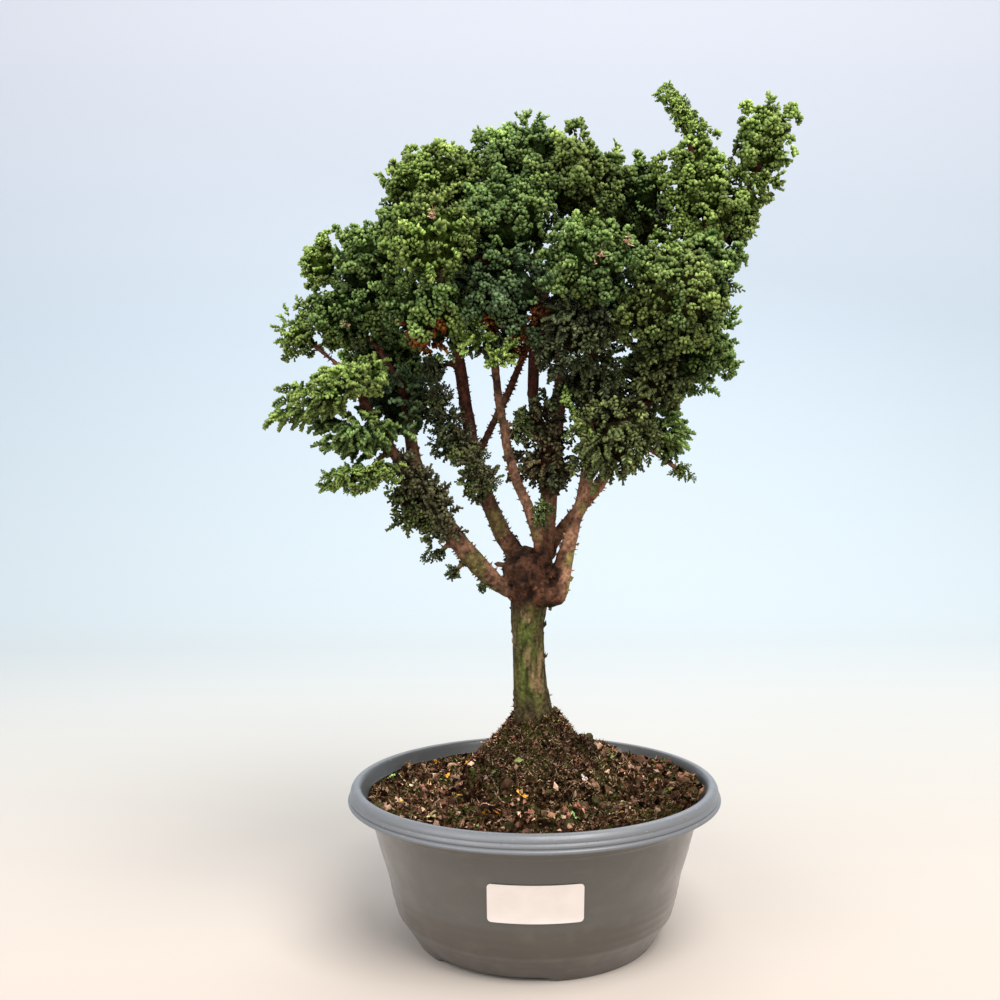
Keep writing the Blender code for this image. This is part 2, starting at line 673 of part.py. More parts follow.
def foliage_shape(index):
    """One mass: a core with a pointed three-sided spray raised on each face that has room for it."""
    _, middle, reach, lean, _ = FOLIAGE[index]
    random = np.random.RandomState(SEED + index)
    turn = leaning(lean)
    planes = neighbour_planes(index)
    directions, triangles = core_directions(reach, turn, random)
    distances = []
    for direction in directions:
        wanted = filled_reach(direction, reach, turn, planes) * random.uniform(*CORE_REACH)
        distances.append(free_distance(direction, wanted, planes))
    places = [direction * distance for direction, distance in zip(directions, distances)]
    faces = []
    for corners in triangles:
        centre = sum((directions[corner] for corner in corners), Vector()) / 3
        strayed = (centre + SPRAY_LEAN * (directions[corners[random.randint(3)]] - centre)).normalized()
        foot = sum(distances[corner] for corner in corners) / 3
        wanted = filled_reach(strayed, reach, turn, planes) * random.uniform(*SPRAY_REACH)
        end = free_distance(strayed, wanted, planes)
        if end < foot * SHORTEST_SPRAY:
            faces.append(corners)
            continue
        apex = len(places)
        places.append(strayed * end)
        for here in range(3):
            faces.append((corners[here], corners[(here + 1) % 3], apex))
    return [Vector(middle) + place for place in places], faces


def keep_largest_island(thing):
    """Drop the loose scraps that a Boolean leaves."""
    mesh = bmesh.new()
    mesh.from_mesh(thing.data)
    unseen = set(mesh.verts)
    islands = []
    while unseen:
        waiting = [unseen.pop()]
        island = set(waiting)
        while waiting:
            for edge in waiting.pop().link_edges:
                for vertex in edge.verts:
                    if vertex in unseen:
                        unseen.remove(vertex)
                        island.add(vertex)
                        waiting.append(vertex)
        islands.append(island)
    islands.sort(key=len)
    loose = [vertex for island in islands[:-1] for vertex in island]
    bmesh.ops.delete(mesh, geom=loose, context="VERTS")
    mesh.to_mesh(thing.data)
    mesh.free()


def make_tree():
    """The wood, and the foliage cut to clear it."""
    wood = wood_solid("wood")
    wood.data.materials.clear()
    wood.data.materials.append(make_material("wood", WOOD_LOOK))
    shade_round(wood)
    clearance = wood_solid("clearance", WOOD_GAP)
    looks = {tone: make_material("foliage_" + tone, look) for tone, look in FOLIAGE_LOOKS.items()}
    for index, (name, _, _, _, tone) in enumerate(FOLIAGE):
        points, faces = foliage_shape(index)
        mass = add_object("foliage_" + name, points, faces)
        apply_boolean(mass, "DIFFERENCE", "MANIFOLD", clearance)
        keep_largest_island(mass)
        mass.data.materials.clear()
        mass.data.materials.append(looks[tone])
    bpy.data.objects.remove(clearance)


def main():
    clear_scene()
    make_pot()
    make_label()
    make_soil()
    make_tree()


main()
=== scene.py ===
"""Looks of a hinoki cypress bonsai in its round pot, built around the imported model.

The model's frame is in metres: the pot's feet stand at z = 0 and the front faces -Y. The tables are in
millimetres from the pot's axis, unless they say otherwise.
"""

import itertools
import json
import math

import bmesh
import bpy
import numpy as np
from mathutils import Matrix, Vector, noise
from mathutils.bvhtree import BVHTree


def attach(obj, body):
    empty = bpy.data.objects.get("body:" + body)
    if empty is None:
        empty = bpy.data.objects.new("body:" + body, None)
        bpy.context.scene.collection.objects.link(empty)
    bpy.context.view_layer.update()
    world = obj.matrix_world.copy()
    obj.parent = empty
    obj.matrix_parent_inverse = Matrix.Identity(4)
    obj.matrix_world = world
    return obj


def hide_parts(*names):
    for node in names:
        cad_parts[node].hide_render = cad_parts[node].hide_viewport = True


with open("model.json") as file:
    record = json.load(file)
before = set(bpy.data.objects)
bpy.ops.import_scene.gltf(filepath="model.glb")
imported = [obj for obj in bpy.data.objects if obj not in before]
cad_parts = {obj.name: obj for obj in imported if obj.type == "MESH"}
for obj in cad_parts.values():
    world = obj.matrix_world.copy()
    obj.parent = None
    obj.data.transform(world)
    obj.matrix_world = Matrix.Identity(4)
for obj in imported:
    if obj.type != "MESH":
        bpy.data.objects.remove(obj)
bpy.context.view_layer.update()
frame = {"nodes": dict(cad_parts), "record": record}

MM = 0.001
AXIS_X = -6.0 * MM  # where the pot's axis stands
SEED = 7

# Camera, fitted to the photograph
CAMERA_PLACE = (-0.0228, -0.6191, 0.2524)
CAMERA_PITCH, CAMERA_ROLL = -1.67, -0.52
CAMERA_LENS = 41.4
CAMERA_TURN = Matrix.Rotation(math.radians(90 + CAMERA_PITCH), 4, "X")
CAMERA_TURN @= Matrix.Rotation(math.radians(CAMERA_ROLL), 4, "Z")

# Pot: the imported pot's profile with the rim's mouldings, as (radius, height) from inside to foot
POT_PROFILE = (
    (62, 6.4), (70.8, 16.6), (79.6, 49.6), (84.6, 68.8), (90.6, 76.4), (92.8, 82.4),
    (94.2, 83.5), (96.4, 83.4), (97.9, 82.1), (98.6, 80.3), (98.3, 79.6), (98.6, 79.1), (99.1, 78.2),
    (99, 77.3), (98.6, 76.9), (99.5, 76.6), (100, 75.8), (99.8, 74.8), (98.9, 74.6),
    (90.4, 73.6), (88.5, 69.6), (88.4, 68.9), (87.9, 68.3), (83, 49.6), (79.1, 37.1), (76.8, 25.8),
    (74.4, 16.6), (69.4, 9.4), (63.6, 0), (55, 0), (53.6, 3.4),
)
POT_FLOOR = (6.4, 3.4)
POT_SEGMENTS = 160
POT_ROUNDING = 1.1  # how far a corner's curve starts from it
WALL_RADIUS, WALL_HEIGHTS, WALL_STEP, RINGED_STEP = 60.0, (8.0, 72.0), 2.5, 0.8  # the outer wall's rows
RING_LOW, RING_HIGH, RING_DEPTH, RING_TURN = 9.0, 38.0, 0.11, 1.3  # faint rings low on the wall
FOOT_CENTRES = (-52.5, 67.5, 187.5)
FOOT_HALF_ANGLE, NOTCH_SLOPE, NOTCH_HEIGHT, LIFTED_HEIGHT = 29.0, 6.0, 2.0, 4.0
DRAINS = ((0, 0, 9), (36, 0, 5), (0, 36, 5), (-36, 0, 5), (0, -36, 5))

# Where the pot's colours run over into each other, in metres; the inner wall above the soil is partly painted
# shade
RIM_HEIGHTS, INNER_RADII, SOIL_LINE, DARKENING_TOP = (0.0715, 0.0765), (0.0932, 0.0950), (0.0750, 0.0758), 0.04

LABEL_LEFT, LABEL_RIGHT, LABEL_LOW, LABEL_HIGH = -24.8, 21.4, 35.0, 55.5
LABEL_CORNER, LABEL_COLUMNS, LABEL_ROWS = 2.0, 40, 12
LABEL_BACK, LABEL_FRONT = 0.3, 0.62  # off the wall

# Soil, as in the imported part
SOIL_LEVEL, SOIL_SLOPE, SOIL_RIPPLE, SOIL_RIPPLE_SIZES = 75.0, (0.028, -0.021), 0.7, (9.0, 11.0)
SOIL_SEGMENTS, SOIL_RINGS, SOIL_RADII = 200, 72, (10.5, 89.2)
SKIRT_HEIGHT, SKIRT_SHARE = 60.0, 0.91  # where the rough surface is closed, under the soil
WALL_REACH, WALL_FADE = 90.0, 5.0  # lumps fade out towards the wall
MOUND_CENTRE, MOUND_LEFT, MOUND_RIGHT = (3.5, 0.0), 0.99, 1.17
MOUND_HEIGHT, MOUND_RADIUS, MOUND_POWER = 118.5, 50.0, 1.65
SOIL_EDGE, TRUNK_EDGE = 88.0, 12.5  # radii between which things lie on the soil
DRESSING, MOUND_DROP = 4.6, 3.4  # loose crumbs and moss raise the flat soil, and cover the mound's rough form
COLLAR_HEIGHT, COLLAR_FROM, COLLAR_WIDTH = 6.5, 10.0, 6.0  # fibres heaped against the trunk
LUMPS = ((3.4, 16.0), (2.0, 6.2), (1.1, 2.6))  # height and size
HUMMOCK_COUNT, HUMMOCK_TURNS, HUMMOCK_REACH = 52, (-1.75, 3.4), (13.0, 80.0)  # moss cushions
HUMMOCK_RADII, HUMMOCK_HEIGHTS = (5.0, 10.5), (1.8, 4.4)
CUSHION_DROP = 1.0
HOLLOW_SHADE, HOLLOW_SHADE_RANGE = 0.26, (0.25, 1.6)  # painted shade and light: how far litter darkens in hollows and lightens on rises, for each millimetre


def srgb(*levels):
    """Linear colour from screen levels of 0 to 255."""
    return np.array([((level / 255 + 0.055) / 1.055) ** 2.4 for level in levels])


def palette(*colours):
    """Linear colours from rows of screen levels."""
    return tuple(srgb(*levels) for levels in colours)


# Foliage colours, from the shaded inside of a cluster to its tips
TONES = {
    "bright": palette((33, 53, 12), (88, 122, 42), (163, 184, 100)),
    "green": palette((24, 42, 12), (64, 96, 40), (128, 152, 88)),
    "olive": palette((30, 39, 11), (78, 98, 38), (139, 155, 84)),
    "dark": palette((18, 32, 12), (49, 73, 40), (100, 122, 84)),
    "brown": palette((34, 24, 12), (80, 62, 36), (112, 92, 56)),
    # Sprigs that hang under the crown: a duller, browner tone, partly their own and partly painted shade
    "hanging": palette((30, 25, 14), (64, 58, 38), (112, 112, 78)),
}

# The tone that some tufts of a mass turn towards
OTHER_TONE = {"bright": "olive", "green": "bright", "olive": "green", "dark": "green", "brown": "dark"}
DRY = palette((40, 20, 8), (104, 58, 22), (150, 92, 40))

# Soil litter
LITTER_LIGHT, LITTER_TINT = 1.12, (1.0, 0.95, 1.08)
# How much light is gained on the left, at the trunk and on the mound, where that begins and where it is full
LITTER_ZONES = ((0.4, -10.0, -50.0), (0.85, 25.0, 17.0), (-0.24, 44.0, 34.0))
LITTER_TURN, LITTER_SHADES = 2 * math.pi, (0.7, 1.3)
CRUMB_COUNT, CRUMB_SIZES, CRUMB_ROUGHNESS = 4200, (1.1, 4.4), 0.13
CLOD_COUNT, CLOD_SIZES, CLOD_FROM, CLOD_ROUGHNESS = 420, (3.4, 8.5), 34.0, 0.07
FLAKE_COUNT, FLAKE_SIZES, FLAKE_FROM = 90, (1.8, 4.4), 20.0
STONE_SIZES, STONE_ROUGHNESS = (3.0, 7.0), 0.06
STONE_AREAS = ((34, (0.0, 0.0), 48.0, SOIL_EDGE), (14, (-8.0, -76.0), 0.0, 16.0))  # count, middle and radii
LUMP_POWER, LUMP_SPREAD = 2.2, (0.65, 1.25)
SOIL_TONES = palette(
    (30, 18, 10), (78, 57, 40), (132, 106, 80), (16, 9, 5), (168, 142, 112), (104, 70, 52),
    (50, 35, 23), (100, 79, 60),
)
CLOD_TONES = palette((42, 30, 20), (60, 48, 30), (88, 66, 48), (28, 20, 12), (54, 52, 30))
STONE_TONES = palette((150, 118, 88), (118, 88, 64), (172, 144, 112))
FLAKE_TONES = palette(
    (196, 150, 62), (150, 90, 40), (112, 126, 70), (84, 104, 50), (160, 132, 96),
    (128, 66, 30), (196, 170, 130),
)
FIBRE_TONES = palette(
    (62, 44, 30), (106, 80, 56), (28, 20, 12), (156, 126, 94), (52, 48, 28), (94, 58, 42),
)
SOIL_MOSS_TONES = palette((44, 45, 24), (82, 84, 48), (20, 19, 9), (128, 122, 80), (76, 58, 40))
MOUND_TONES = palette(
    (52, 37, 25), (90, 69, 51), (14, 9, 5), (150, 124, 100), (46, 43, 24), (80, 52, 37),
)
FUZZ_WIDTHS = (0.45, 0.95)
FUZZ = (  # count, middle, from and to radius, lengths and tones
    (5200, (3.5, 0.0), 11.0, 38.0, (1.2, 3.0), MOUND_TONES),
    (2400, (14.0, -30.0), 0.0, 34.0, (1.0, 2.4), SOIL_MOSS_TONES),
    (3000, (0.0, 0.0), 38.0, 88.0, (1.0, 2.8), SOIL_MOSS_TONES),
    (4200, (0.0, 0.0), 38.0, 88.0, (1.2, 3.8), FIBRE_TONES),
)
SEEN_FLAKES = (  # across and down in the picture, size, colour
    (521, 797, 4.6, (222, 168, 62)), (408, 762, 3.4, (216, 170, 76)), (437, 763, 2.8, (214, 152, 56)),
    (446, 777, 3.2, (214, 150, 50)), (486, 816, 3.6, (214, 150, 40)), (499, 816, 3.0, (206, 128, 34)),
    (468, 763, 2.4, (206, 150, 60)), (396, 777, 3.8, (120, 156, 84)), (493, 773, 3.0, (126, 154, 96)),
    (575, 818, 3.0, (122, 156, 92)), (667, 790, 3.4, (168, 178, 78)), (584, 779, 4.6, (206, 196, 176)),
    (430, 817, 4.4, (150, 140, 92)), (581, 808, 5.4, (136, 92, 70)), (673, 786, 4.6, (160, 122, 92)),
)
SEEN_FLAKE_LIGHT = 0.8
ROOTS = (  # across and down in the picture
    ((484, 780), (493, 793), (503, 803), (517, 808)), ((489, 776), (497, 789), (500, 801)),
    ((455, 786), (466, 790)), ((563, 795), (572, 786), (588, 783)), ((470, 800), (481, 806), (495, 806)),
)
ROOT_TONES = palette((150, 116, 92), (124, 92, 70), (176, 146, 118))

# Bark: pairs of colours that noise runs between
TRUNK_TONES = palette((38, 31, 19), (86, 74, 46))
MOSS_TONES = palette((42, 48, 19), (96, 108, 46))
PATCH_TONE = srgb(124, 102, 72)
KNOT_TONES = palette((36, 21, 14), (88, 56, 38))
LIMB_TONES = palette((60, 39, 29), (142, 105, 81))
LICHEN_TONES = palette((66, 62, 32), (118, 110, 62))
# The inner limbs high under the crown: darker and redder, the darkening painted shade
SHADED_LIMB_TONES = palette((54, 30, 24), (92, 56, 44))
TWIG_TONES = palette((190, 146, 124), (150, 104, 82), (208, 174, 152))
BARK_NOISE = (  # lumps a metre across and along the trunk, and a shift
    (430, 430, 0.0),  # fine
    (150, 150, 3.0),  # coarse
    (260, 45, 1.0),  # streak
    (150, 22, 5.0),  # crack
    (60, 60, 37.0),  # cracked area
    (190, 90, 29.0),  # patch
    (700, 500, 13.0),  # speckle
    (190, 190, 7.0),  # pit
    (520, 160, 17.0),  # fibre
    (240, 520, 11.0),  # wrinkle
    (110, 110, 21.0),  # lichen
)
# Heights and distances between which the bark's looks run over into each other
TRUNK_TOP, KNOT_TOP, KNOT_MIDDLE, KNOT_SIDE = (171.0, 182.0), (206.0, 226.0), -5.0, (12.0, 17.0)
MOSS_FOOT, MOSS_STRIP, MOSS_SHIFT = (118.0, 132.0), (1.5, 7.5), 3.5
LICHEN_SIDE, LICHEN_TOP, LIMB_SHADE_HEIGHTS, LIMB_LIGHT = (12.0, 40.0), (250, 300), (240.0, 292.0), (-25.0, 18.0)
FRONT_LIMB_X, FRONT_LIMB_Z, FRONT_LIMB_SLOPE = -28.2, 304.0, 0.281  # a limb in front, kept out of the inner limbs' painted shade
FRONT_LIMB_WIDTH = (4.0, 8.0)
VOXEL, SMOOTH_STEPS, KEPT_SHARE = 1.05, 5, 0.52  # of the remeshed wood
STUB_COUNT, KNOB_COUNT, CHIP_COUNT, SCALE_COUNT, FOOT_MOSS_COUNT = 2000, 900, 320, 90, 420
STUB_TURN, STUB_SHADES = 6.28, (0.7, 1.35)
BARK_HEIGHTS = {"limbs": (186, 350), "knot": (176, 222), "trunk": (108, 172)}
FOOT_HEIGHTS = (110, 121)
BARE_KNOT_TOP, BARE_KNOT_SIDE = 212, 14  # stubs stand above it or outside it
FOOT_MOSS_TONES = palette((72, 54, 38), (96, 72, 54), (56, 50, 28))
BROKEN_STUBS = (  # place, direction, size
    ((-19.0, -2.0, 199.0), (-1.0, -0.3, 0.15), (3.4, 3.4, 8.0)),
    ((12.0, -4.0, 190.0), (1.0, -0.3, 0.3), (3.4, 3.4, 6.0)),
    ((-14.0, -8.0, 204.0), (-0.5, -1.0, 0.3), (3.0, 3.0, 6.0)),
    ((2.0, -10.0, 196.0), (0.2, -1.0, 0.1), (2.6, 2.6, 4.5)),
)
DRY_TWIGS = (  # across and down in the picture, count and length
    (433, 215, 13, 4.6), (556, 137, 18, 4.4), (600, 257, 12, 3.8), (626, 243, 12, 4.2), (346, 325, 8, 3.2),
)
FRESH_SPRIG = ((563, 392), (566, 403), (573, 414), (583, 425), (590, 433))  # across and down in the picture
FRESH_COUNT, FRESH_SCALE, FRESH_LIGHT = 9, 0.85, 1.15

# A fan is cupped rows of nubs: count, spread, reach of their feet, tilt, share of the length, lightness
FAN_ROWS = ((6, 74, 1.7, 6, 1, 0.12), (4, 52, 1, 42, 0.95, 0.22), (2, 26, 0.7, -36, 0.9, -0.05))
FAN_LENGTHS, FAN_WIDTHS, FAN_THICKNESS = (2.6, 3.6), (1.9, 2.5), 0.9
FAN_TURN, FAN_TILT, SPRAY_TURN = 9, 12, 8  # how far nubs stray from their rows, in degrees
# A spray is pairs of nubs along a stem: pairs, stem, spread at foot and tip, droop, tilt, lengths, widths and
# whether they have side nubs
SPRAYS = {
    "sprig": (3, 5.2, (62.0, 32.0), 0.24, 26.0, (3.0, 4.0), (2.0, 2.7), False),
    "frond": (4, 6.8, (58.0, 32.0), 0.2, 14.0, (2.6, 3.6), (2.0, 2.7), True),
}
SPRAY_THICKNESS, FORK_ANGLES, FORK_PLACE, FORK_LENGTH = 0.6, (28, 46), 0.45, 0.72
VARIANTS = 8
TIP_LIGHT, NUB_MOOD, SHADE_POWER, VALUE_RANGE = 0.8, 0.09, 1.15, (0.3, 1.7)  # how light a nub gets
SAMPLES_PER_CLUSTER, LEAST_SAMPLES = 4, 8
OPEN_RAYS, OPEN_REACH, OPEN_START, OPEN_SPREAD = 12, 32.0, 3.0, 0.75  # rays that tell how open a place is
NODE_KINDS = {
    "frond": ("left_frond", "left_frond_low", "left_low_spray", "right_low_tip", "left_inner"),
    "sprig": (
        "limb_left_hanging", "limb_mid_hanging", "limb_mid_upper", "limb_mid_sprig", "crown_low_tuft",
        "limb_centre_brown", "limb_centre_base", "limb_centre_sprig", "low_sprig_left", "low_sprig_mid",
        "low_sprig_right", "right_hanging", "right_under", "mid_right_low", "mid_front_low", "centre_low",
        "back_right_bottom", "right_far_sprig",
    ),
}
KIND_OF = {name: kind for kind, names in NODE_KINDS.items() for name in names}
SPACING = {"fan": 5.1, "sprig": 4.5, "frond": 4.9}  # between clusters' feet
BACK_SPACING = 1.06
RISE = {"fan": 0.22, "sprig": -0.55, "frond": -0.22}  # how far clusters turn up
CLUSTER_DEPTH = {"fan": 1.5, "sprig": 3.8, "frond": 4.5}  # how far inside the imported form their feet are
SPIN_SPREAD = {"fan": 0.7, "sprig": 1.2, "frond": 0.9}  # turn out of level, in radians
INNER_SHARE = {"fan": 0.36, "sprig": 0.3, "frond": 0.3}  # further clusters inside, for each on the surface
INNER_DEPTH = {"fan": (2.6, 4.6), "sprig": (3.0, 8.0), "frond": (2.0, 7.0)}
# The kind that some tufts turn into
FEATHERED = {"fan": ("sprig", 0.3), "sprig": ("frond", 0.2), "frond": ("sprig", 0.15)}
# A shrunken core under each mass; its dark colour is painted shade
CORE_INSET, CORE_SHRINK = 2.5, {"fan": 0.76, "sprig": 0.56, "frond": 0.4}
CORE_SHADE_TINT = (1.0, 0.68, 1.1)
# Tufts: neighbouring clusters that are lifted, lean and turn tone together
TUFT_SPACING, TUFT_LIFTS, TUFT_FALL, TUFT_SPREAD, TUFT_LEAN = 12.5, (-2.4, 2.6), 2.4, 13.0, 0.28
TUFT_EDGE = 7.0  # how far from its middle a tuft has fallen and darkened
FILL_DENSITY, FILL_DEPTHS = 0.4, (0.3, 0.85)  # for the radius squared, and in shares of the radius
FILL_LIGHT = {None: 0.88, "bright": 1.05, "hanging": 0.78}
INNER_LIGHT, SHOOT_LIGHT = 0.66, 1.08
CLUSTER_SCALES = (0.82, 1.16)
SHOOT_SPACING, SHOOT_STEPS = 17.0, (1.5, 4.0, 6.2)  # stray shoots, and how far out their clusters are
SHOOT_REACH, SHOOT_OPENNESS = 9.0, 0.6  # least size and openness of a mass that bears them
CROWN_MIDDLE = (-0.006, 0.0, 0.30)  # metres
FULL_REACH, LEAST_SCALE = 14.0, 0.6  # clusters are smaller on masses smaller than this
OUTWARD_SHARE, FACE_SHARE = 0.65, 0.35  # what the way outward takes from the mass's middle, and from its face
FROND_ROOT, FROND_SPREAD, WAY_SPREAD = 0.8, 0.45, 0.18
LIGHT_ALL, LIGHT_OPEN, LIGHT_UP, LIGHT_MOOD = 0.5, 0.54, 0.2, 0.15
TUFT_LIGHT, TUFT_SHADE = 1.08, 0.3  # at a tuft's middle, and how much darker its edge is
TURN_ALL, TURN_MOOD, TURN_SPREAD, TURN_MOST = 0.22, 0.3, 0.1, 0.85  # how far tufts turn to the other tone
HIDDEN_BELOW, HIDDEN_SPREAD = 0.13, 0.3  # openness under which clusters are left out

# Thin growth that joins masses: across and down in the picture, and radius
FILLS = {
    "spire_right": ((733, 180, 8), (748, 172, 6), (712, 236, 7), (769, 183, 5)),
    "spire_left": (
        (690, 228, 9), (676, 205, 7), (661, 163, 5), (704, 150, 6), (709, 205, 7), (706, 238, 7),
        (672, 184, 6), (661, 243, 7),
    ),
    "spire_left_tip": ((696, 141, 5), (704, 137, 4)),
    "left_mid_tip": ((320, 322, 7), (334, 342, 7), (303, 311, 5), (284, 350, 4)),
    "left_upper_tip": ((323, 287, 5),),
    "left_upper": ((385, 214, 4),),
    "left_low_spray": ((330, 482, 6), (352, 478, 7), (376, 474, 7), (390, 486, 6)),
    "top_left": ((387, 178, 4),),
    "centre_left": ((418, 268, 7), (428, 272, 6)),
    "top_centre": ((478, 141, 5),),
    "top_right": ((575, 131, 4),),
    "mid_front": ((640, 266, 6), (548, 258, 6)),
    "centre_low": ((480, 328, 8), (466, 344, 5), (505, 330, 8), (522, 334, 7), (535, 322, 7)),
    "limb_mid_sprig": ((428, 388, 8), (436, 402, 9), (446, 416, 8), (424, 408, 6)),
    "limb_mid_upper": ((446, 432, 8), (455, 446, 8), (438, 444, 6)),
    "limb_mid_hanging": ((466, 462, 8), (474, 480, 8)),
    "limb_left_hanging": ((433, 537, 6), (404, 520, 6), (412, 492, 8), (428, 508, 8)),
    "limb_centre_brown": ((521, 432, 6), (519, 468, 6), (540, 420, 7), (538, 470, 7)),
    "mid_right_low": ((549, 396, 5),),
    "right_low_tip": ((672, 418, 6),),
    "right_flank": ((727, 371, 5),),
}
# The same in front of a mass, in a tone of its own
FRONT_TUFTS = {
    "spire_left_tip": ("bright", (664, 95, 5), (672, 103, 6), (680, 112, 6), (688, 123, 6), (697, 134, 6)),
    "centre_low": ("bright", (475, 336, 7), (470, 348, 4), (499, 358, 7), (509, 352, 5)),
    "limb_mid_sprig": ("hanging", (440, 396, 6), (452, 420, 7)),
    "limb_mid_upper": ("hanging", (463, 441, 7)),
    "limb_mid_hanging": ("hanging", (476, 462, 7), (486, 482, 7)),
    "limb_left_hanging": (
        "hanging", (404, 470, 7), (418, 482, 8), (430, 497, 8), (442, 513, 7), (451, 529, 5),
    ),
}
DRY_HOLLOWS = (  # x, z, radius
    (-58.0, 325.0, 11.0), (-25.0, 323.5, 5.0), (-2.0, 327.0, 7.0), (-13.0, 315.0, 5.0),
)
DRY_DEPTH = 45.0

# Floor and light
FLOOR_TONES = (
    (0.0, (0.50, 0.435, 0.385)), (0.12, (0.50, 0.48, 0.445)), (0.4, (0.485, 0.545, 0.57)),
    (0.75, (0.465, 0.54, 0.61)), (1.0, (0.575, 0.595, 0.67)),
)
SKY_COLOUR, SKY_STRENGTH = (0.93, 0.96, 1.0, 1.0), 0.62
LIGHTS = (  # name, place in metres, size, power and colour
    ("key", (0.75, -1.35, 2.35), 1.8, 106.0, (1.0, 0.97, 0.93)),
    ("fill", (-1.5, -1.4, 1.2), 1.8, 30.0, (0.98, 0.99, 1.0)),
    ("back", (0.3, 1.0, 1.4), 1.2, 10.0, (1.0, 1.0, 1.0)),
)


def way_to(across, down):
    """The camera's ray at a place in the 1000 x 1000 picture."""
    focal = CAMERA_LENS / 36.0 * 1000
    return CAMERA_TURN @ Vector(((across - 500) / focal, (500 - down) / focal, -1.0))


def seen(tree, across, down):
    """Where the ray at a place in the picture, or just below it, meets a surface."""
    for lower in range(0, 40, 2):
        place = tree.ray_cast(Vector(CAMERA_PLACE), way_to(across, down + lower))[0]
        if place:
            return np.array(place)
    raise ValueError(f"nothing is seen at {across}, {down}")


def at_depth(across, down, y):
    """The place at a given y that shows at a place in the picture."""
    way = way_to(across, down)
    return np.array(Vector(CAMERA_PLACE) + way * ((y - CAMERA_PLACE[1]) / way.y))


def set_tint(mesh, tint):
    """A colour for each of the mesh's points, for tinted_material to read."""
    colours = np.ones((len(mesh.vertices), 4), np.float32)
    colours[:, :3] = tint
    mesh.color_attributes.new("tint", "FLOAT_COLOR", "POINT").data.foreach_set("color", colours.ravel())


def add_object(name, data):
    """An object of the scene."""
    thing = bpy.data.objects.new(name, data)
    bpy.context.scene.collection.objects.link(thing)
    return thing


def apply_modifiers(thing):
    """The object's mesh replaced by what its modifiers make of it."""
    bpy.context.view_layer.update()
    graph = bpy.context.evaluated_depsgraph_get()
    thing.data = bpy.data.meshes.new_from_object(thing.evaluated_get(graph))
    thing.modifiers.clear()


def add_mesh(name, points, faces, material, tint=None, smooth=True):
    """A mesh piece riding on the part; faces is an array of triangles or of quads."""
    points = np.asarray(points, np.float32)
    faces = np.asarray(faces, np.int32)
    mesh = bpy.data.meshes.new(name)
    mesh.vertices.add(len(points))
    mesh.vertices.foreach_set("co", points.ravel())
    mesh.loops.add(faces.size)
    mesh.loops.foreach_set("vertex_index", faces.ravel())
    mesh.polygons.add(len(faces))
    mesh.polygons.foreach_set("loop_start", np.arange(0, faces.size, faces.shape[1], dtype=np.int32))
    mesh.polygons.foreach_set("use_smooth", np.full(len(faces), smooth))
    mesh.update(calc_edges=True)
    if tint is not None:
        set_tint(mesh, tint)
    mesh.materials.append(material)
    thing = add_object(name, mesh)
    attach(thing, "root")
    return thing


# Materials


def new_material(name, roughness, shine=0.5):
    """A material with its node tree and shader."""
    material = bpy.data.materials.new(name)
    material.use_nodes = True
    tree = material.node_tree
    shader = tree.nodes["Principled BSDF"]
    shader.inputs["Roughness"].default_value = roughness
    shader.inputs["Specular IOR Level"].default_value = shine
    return material, tree, shader


def add_node(tree, kind, inputs=None, **settings):
    """A shader node with its settings; inputs maps a socket's name or number to a link or a value."""
    node = tree.nodes.new("ShaderNode" + kind)
    for name, value in settings.items():
        setattr(node, name, value)
    for key, value in (inputs or {}).items():
        if isinstance(value, bpy.types.NodeSocket):
            tree.links.new(value, node.inputs[key])
        else:
            node.inputs[key].default_value = value
    return node


def range_socket(tree, value, low, high):
    """0 where the value is low and 1 where it is high."""
    return add_node(tree, "MapRange", {"Value": value, "From Min": low, "From Max": high}).outputs["Result"]


def place_socket(tree, **mapped):
    """The object's own coordinates, as a mapping node changes them."""
    place = add_node(tree, "TexCoord").outputs["Object"]
    return add_node(tree, "Mapping", {"Vector": place} | mapped).outputs["Vector"] if mapped else place


def noise_socket(tree, scale, stretch=(1, 1, 1), detail=4.0):
    """Fac of a noise texture over the object's own coordinates."""
    inputs = {"Vector": place_socket(tree, Scale=stretch), "Scale": scale, "Detail": detail}
    return add_node(tree, "TexNoise", inputs).outputs["Fac"]


def height_socket(tree, low, high, axis=(0.0, 0.0, 1.0)):
    """0 at the low height and 1 at the high one, in metres along an axis."""
    along = add_node(tree, "VectorMath", {0: place_socket(tree), 1: axis}, operation="DOT_PRODUCT")
    return range_socket(tree, along.outputs["Value"], low, high)


def radius_socket(tree, low, high):
    """0 at the low radius from the pot's axis and 1 at the high one, in metres."""
    level = place_socket(tree, Location=(-AXIS_X, 0.0, 0.0), Scale=(1.0, 1.0, 0.0))
    away = add_node(tree, "VectorMath", {0: level}, operation="LENGTH")
    return range_socket(tree, away.outputs["Value"], low, high)


def ramp_socket(tree, factor, stops):
    """A colour ramp's output; stops are (place, linear colour or grey level)."""
    ramp = add_node(tree, "ValToRGB", {"Fac": factor})
    elements = ramp.color_ramp.elements
    while len(elements) < len(stops):
        elements.new(0.5)
    for element, (place, colour) in zip(elements, stops):
        element.position = place
        element.color = (*np.broadcast_to(colour, 3), 1.0)
    return ramp.outputs["Color"]


def noise_ramp(tree, scale, stops, stretch=(1, 1, 1), detail=4.0):
    """A colour ramp over noise."""
    return ramp_socket(tree, noise_socket(tree, scale, stretch, detail), stops)


def product_socket(tree, first, second):
    """Two sockets' numbers multiplied."""
    return add_node(tree, "Math", {0: first, 1: second}, operation="MULTIPLY").outputs["Value"]


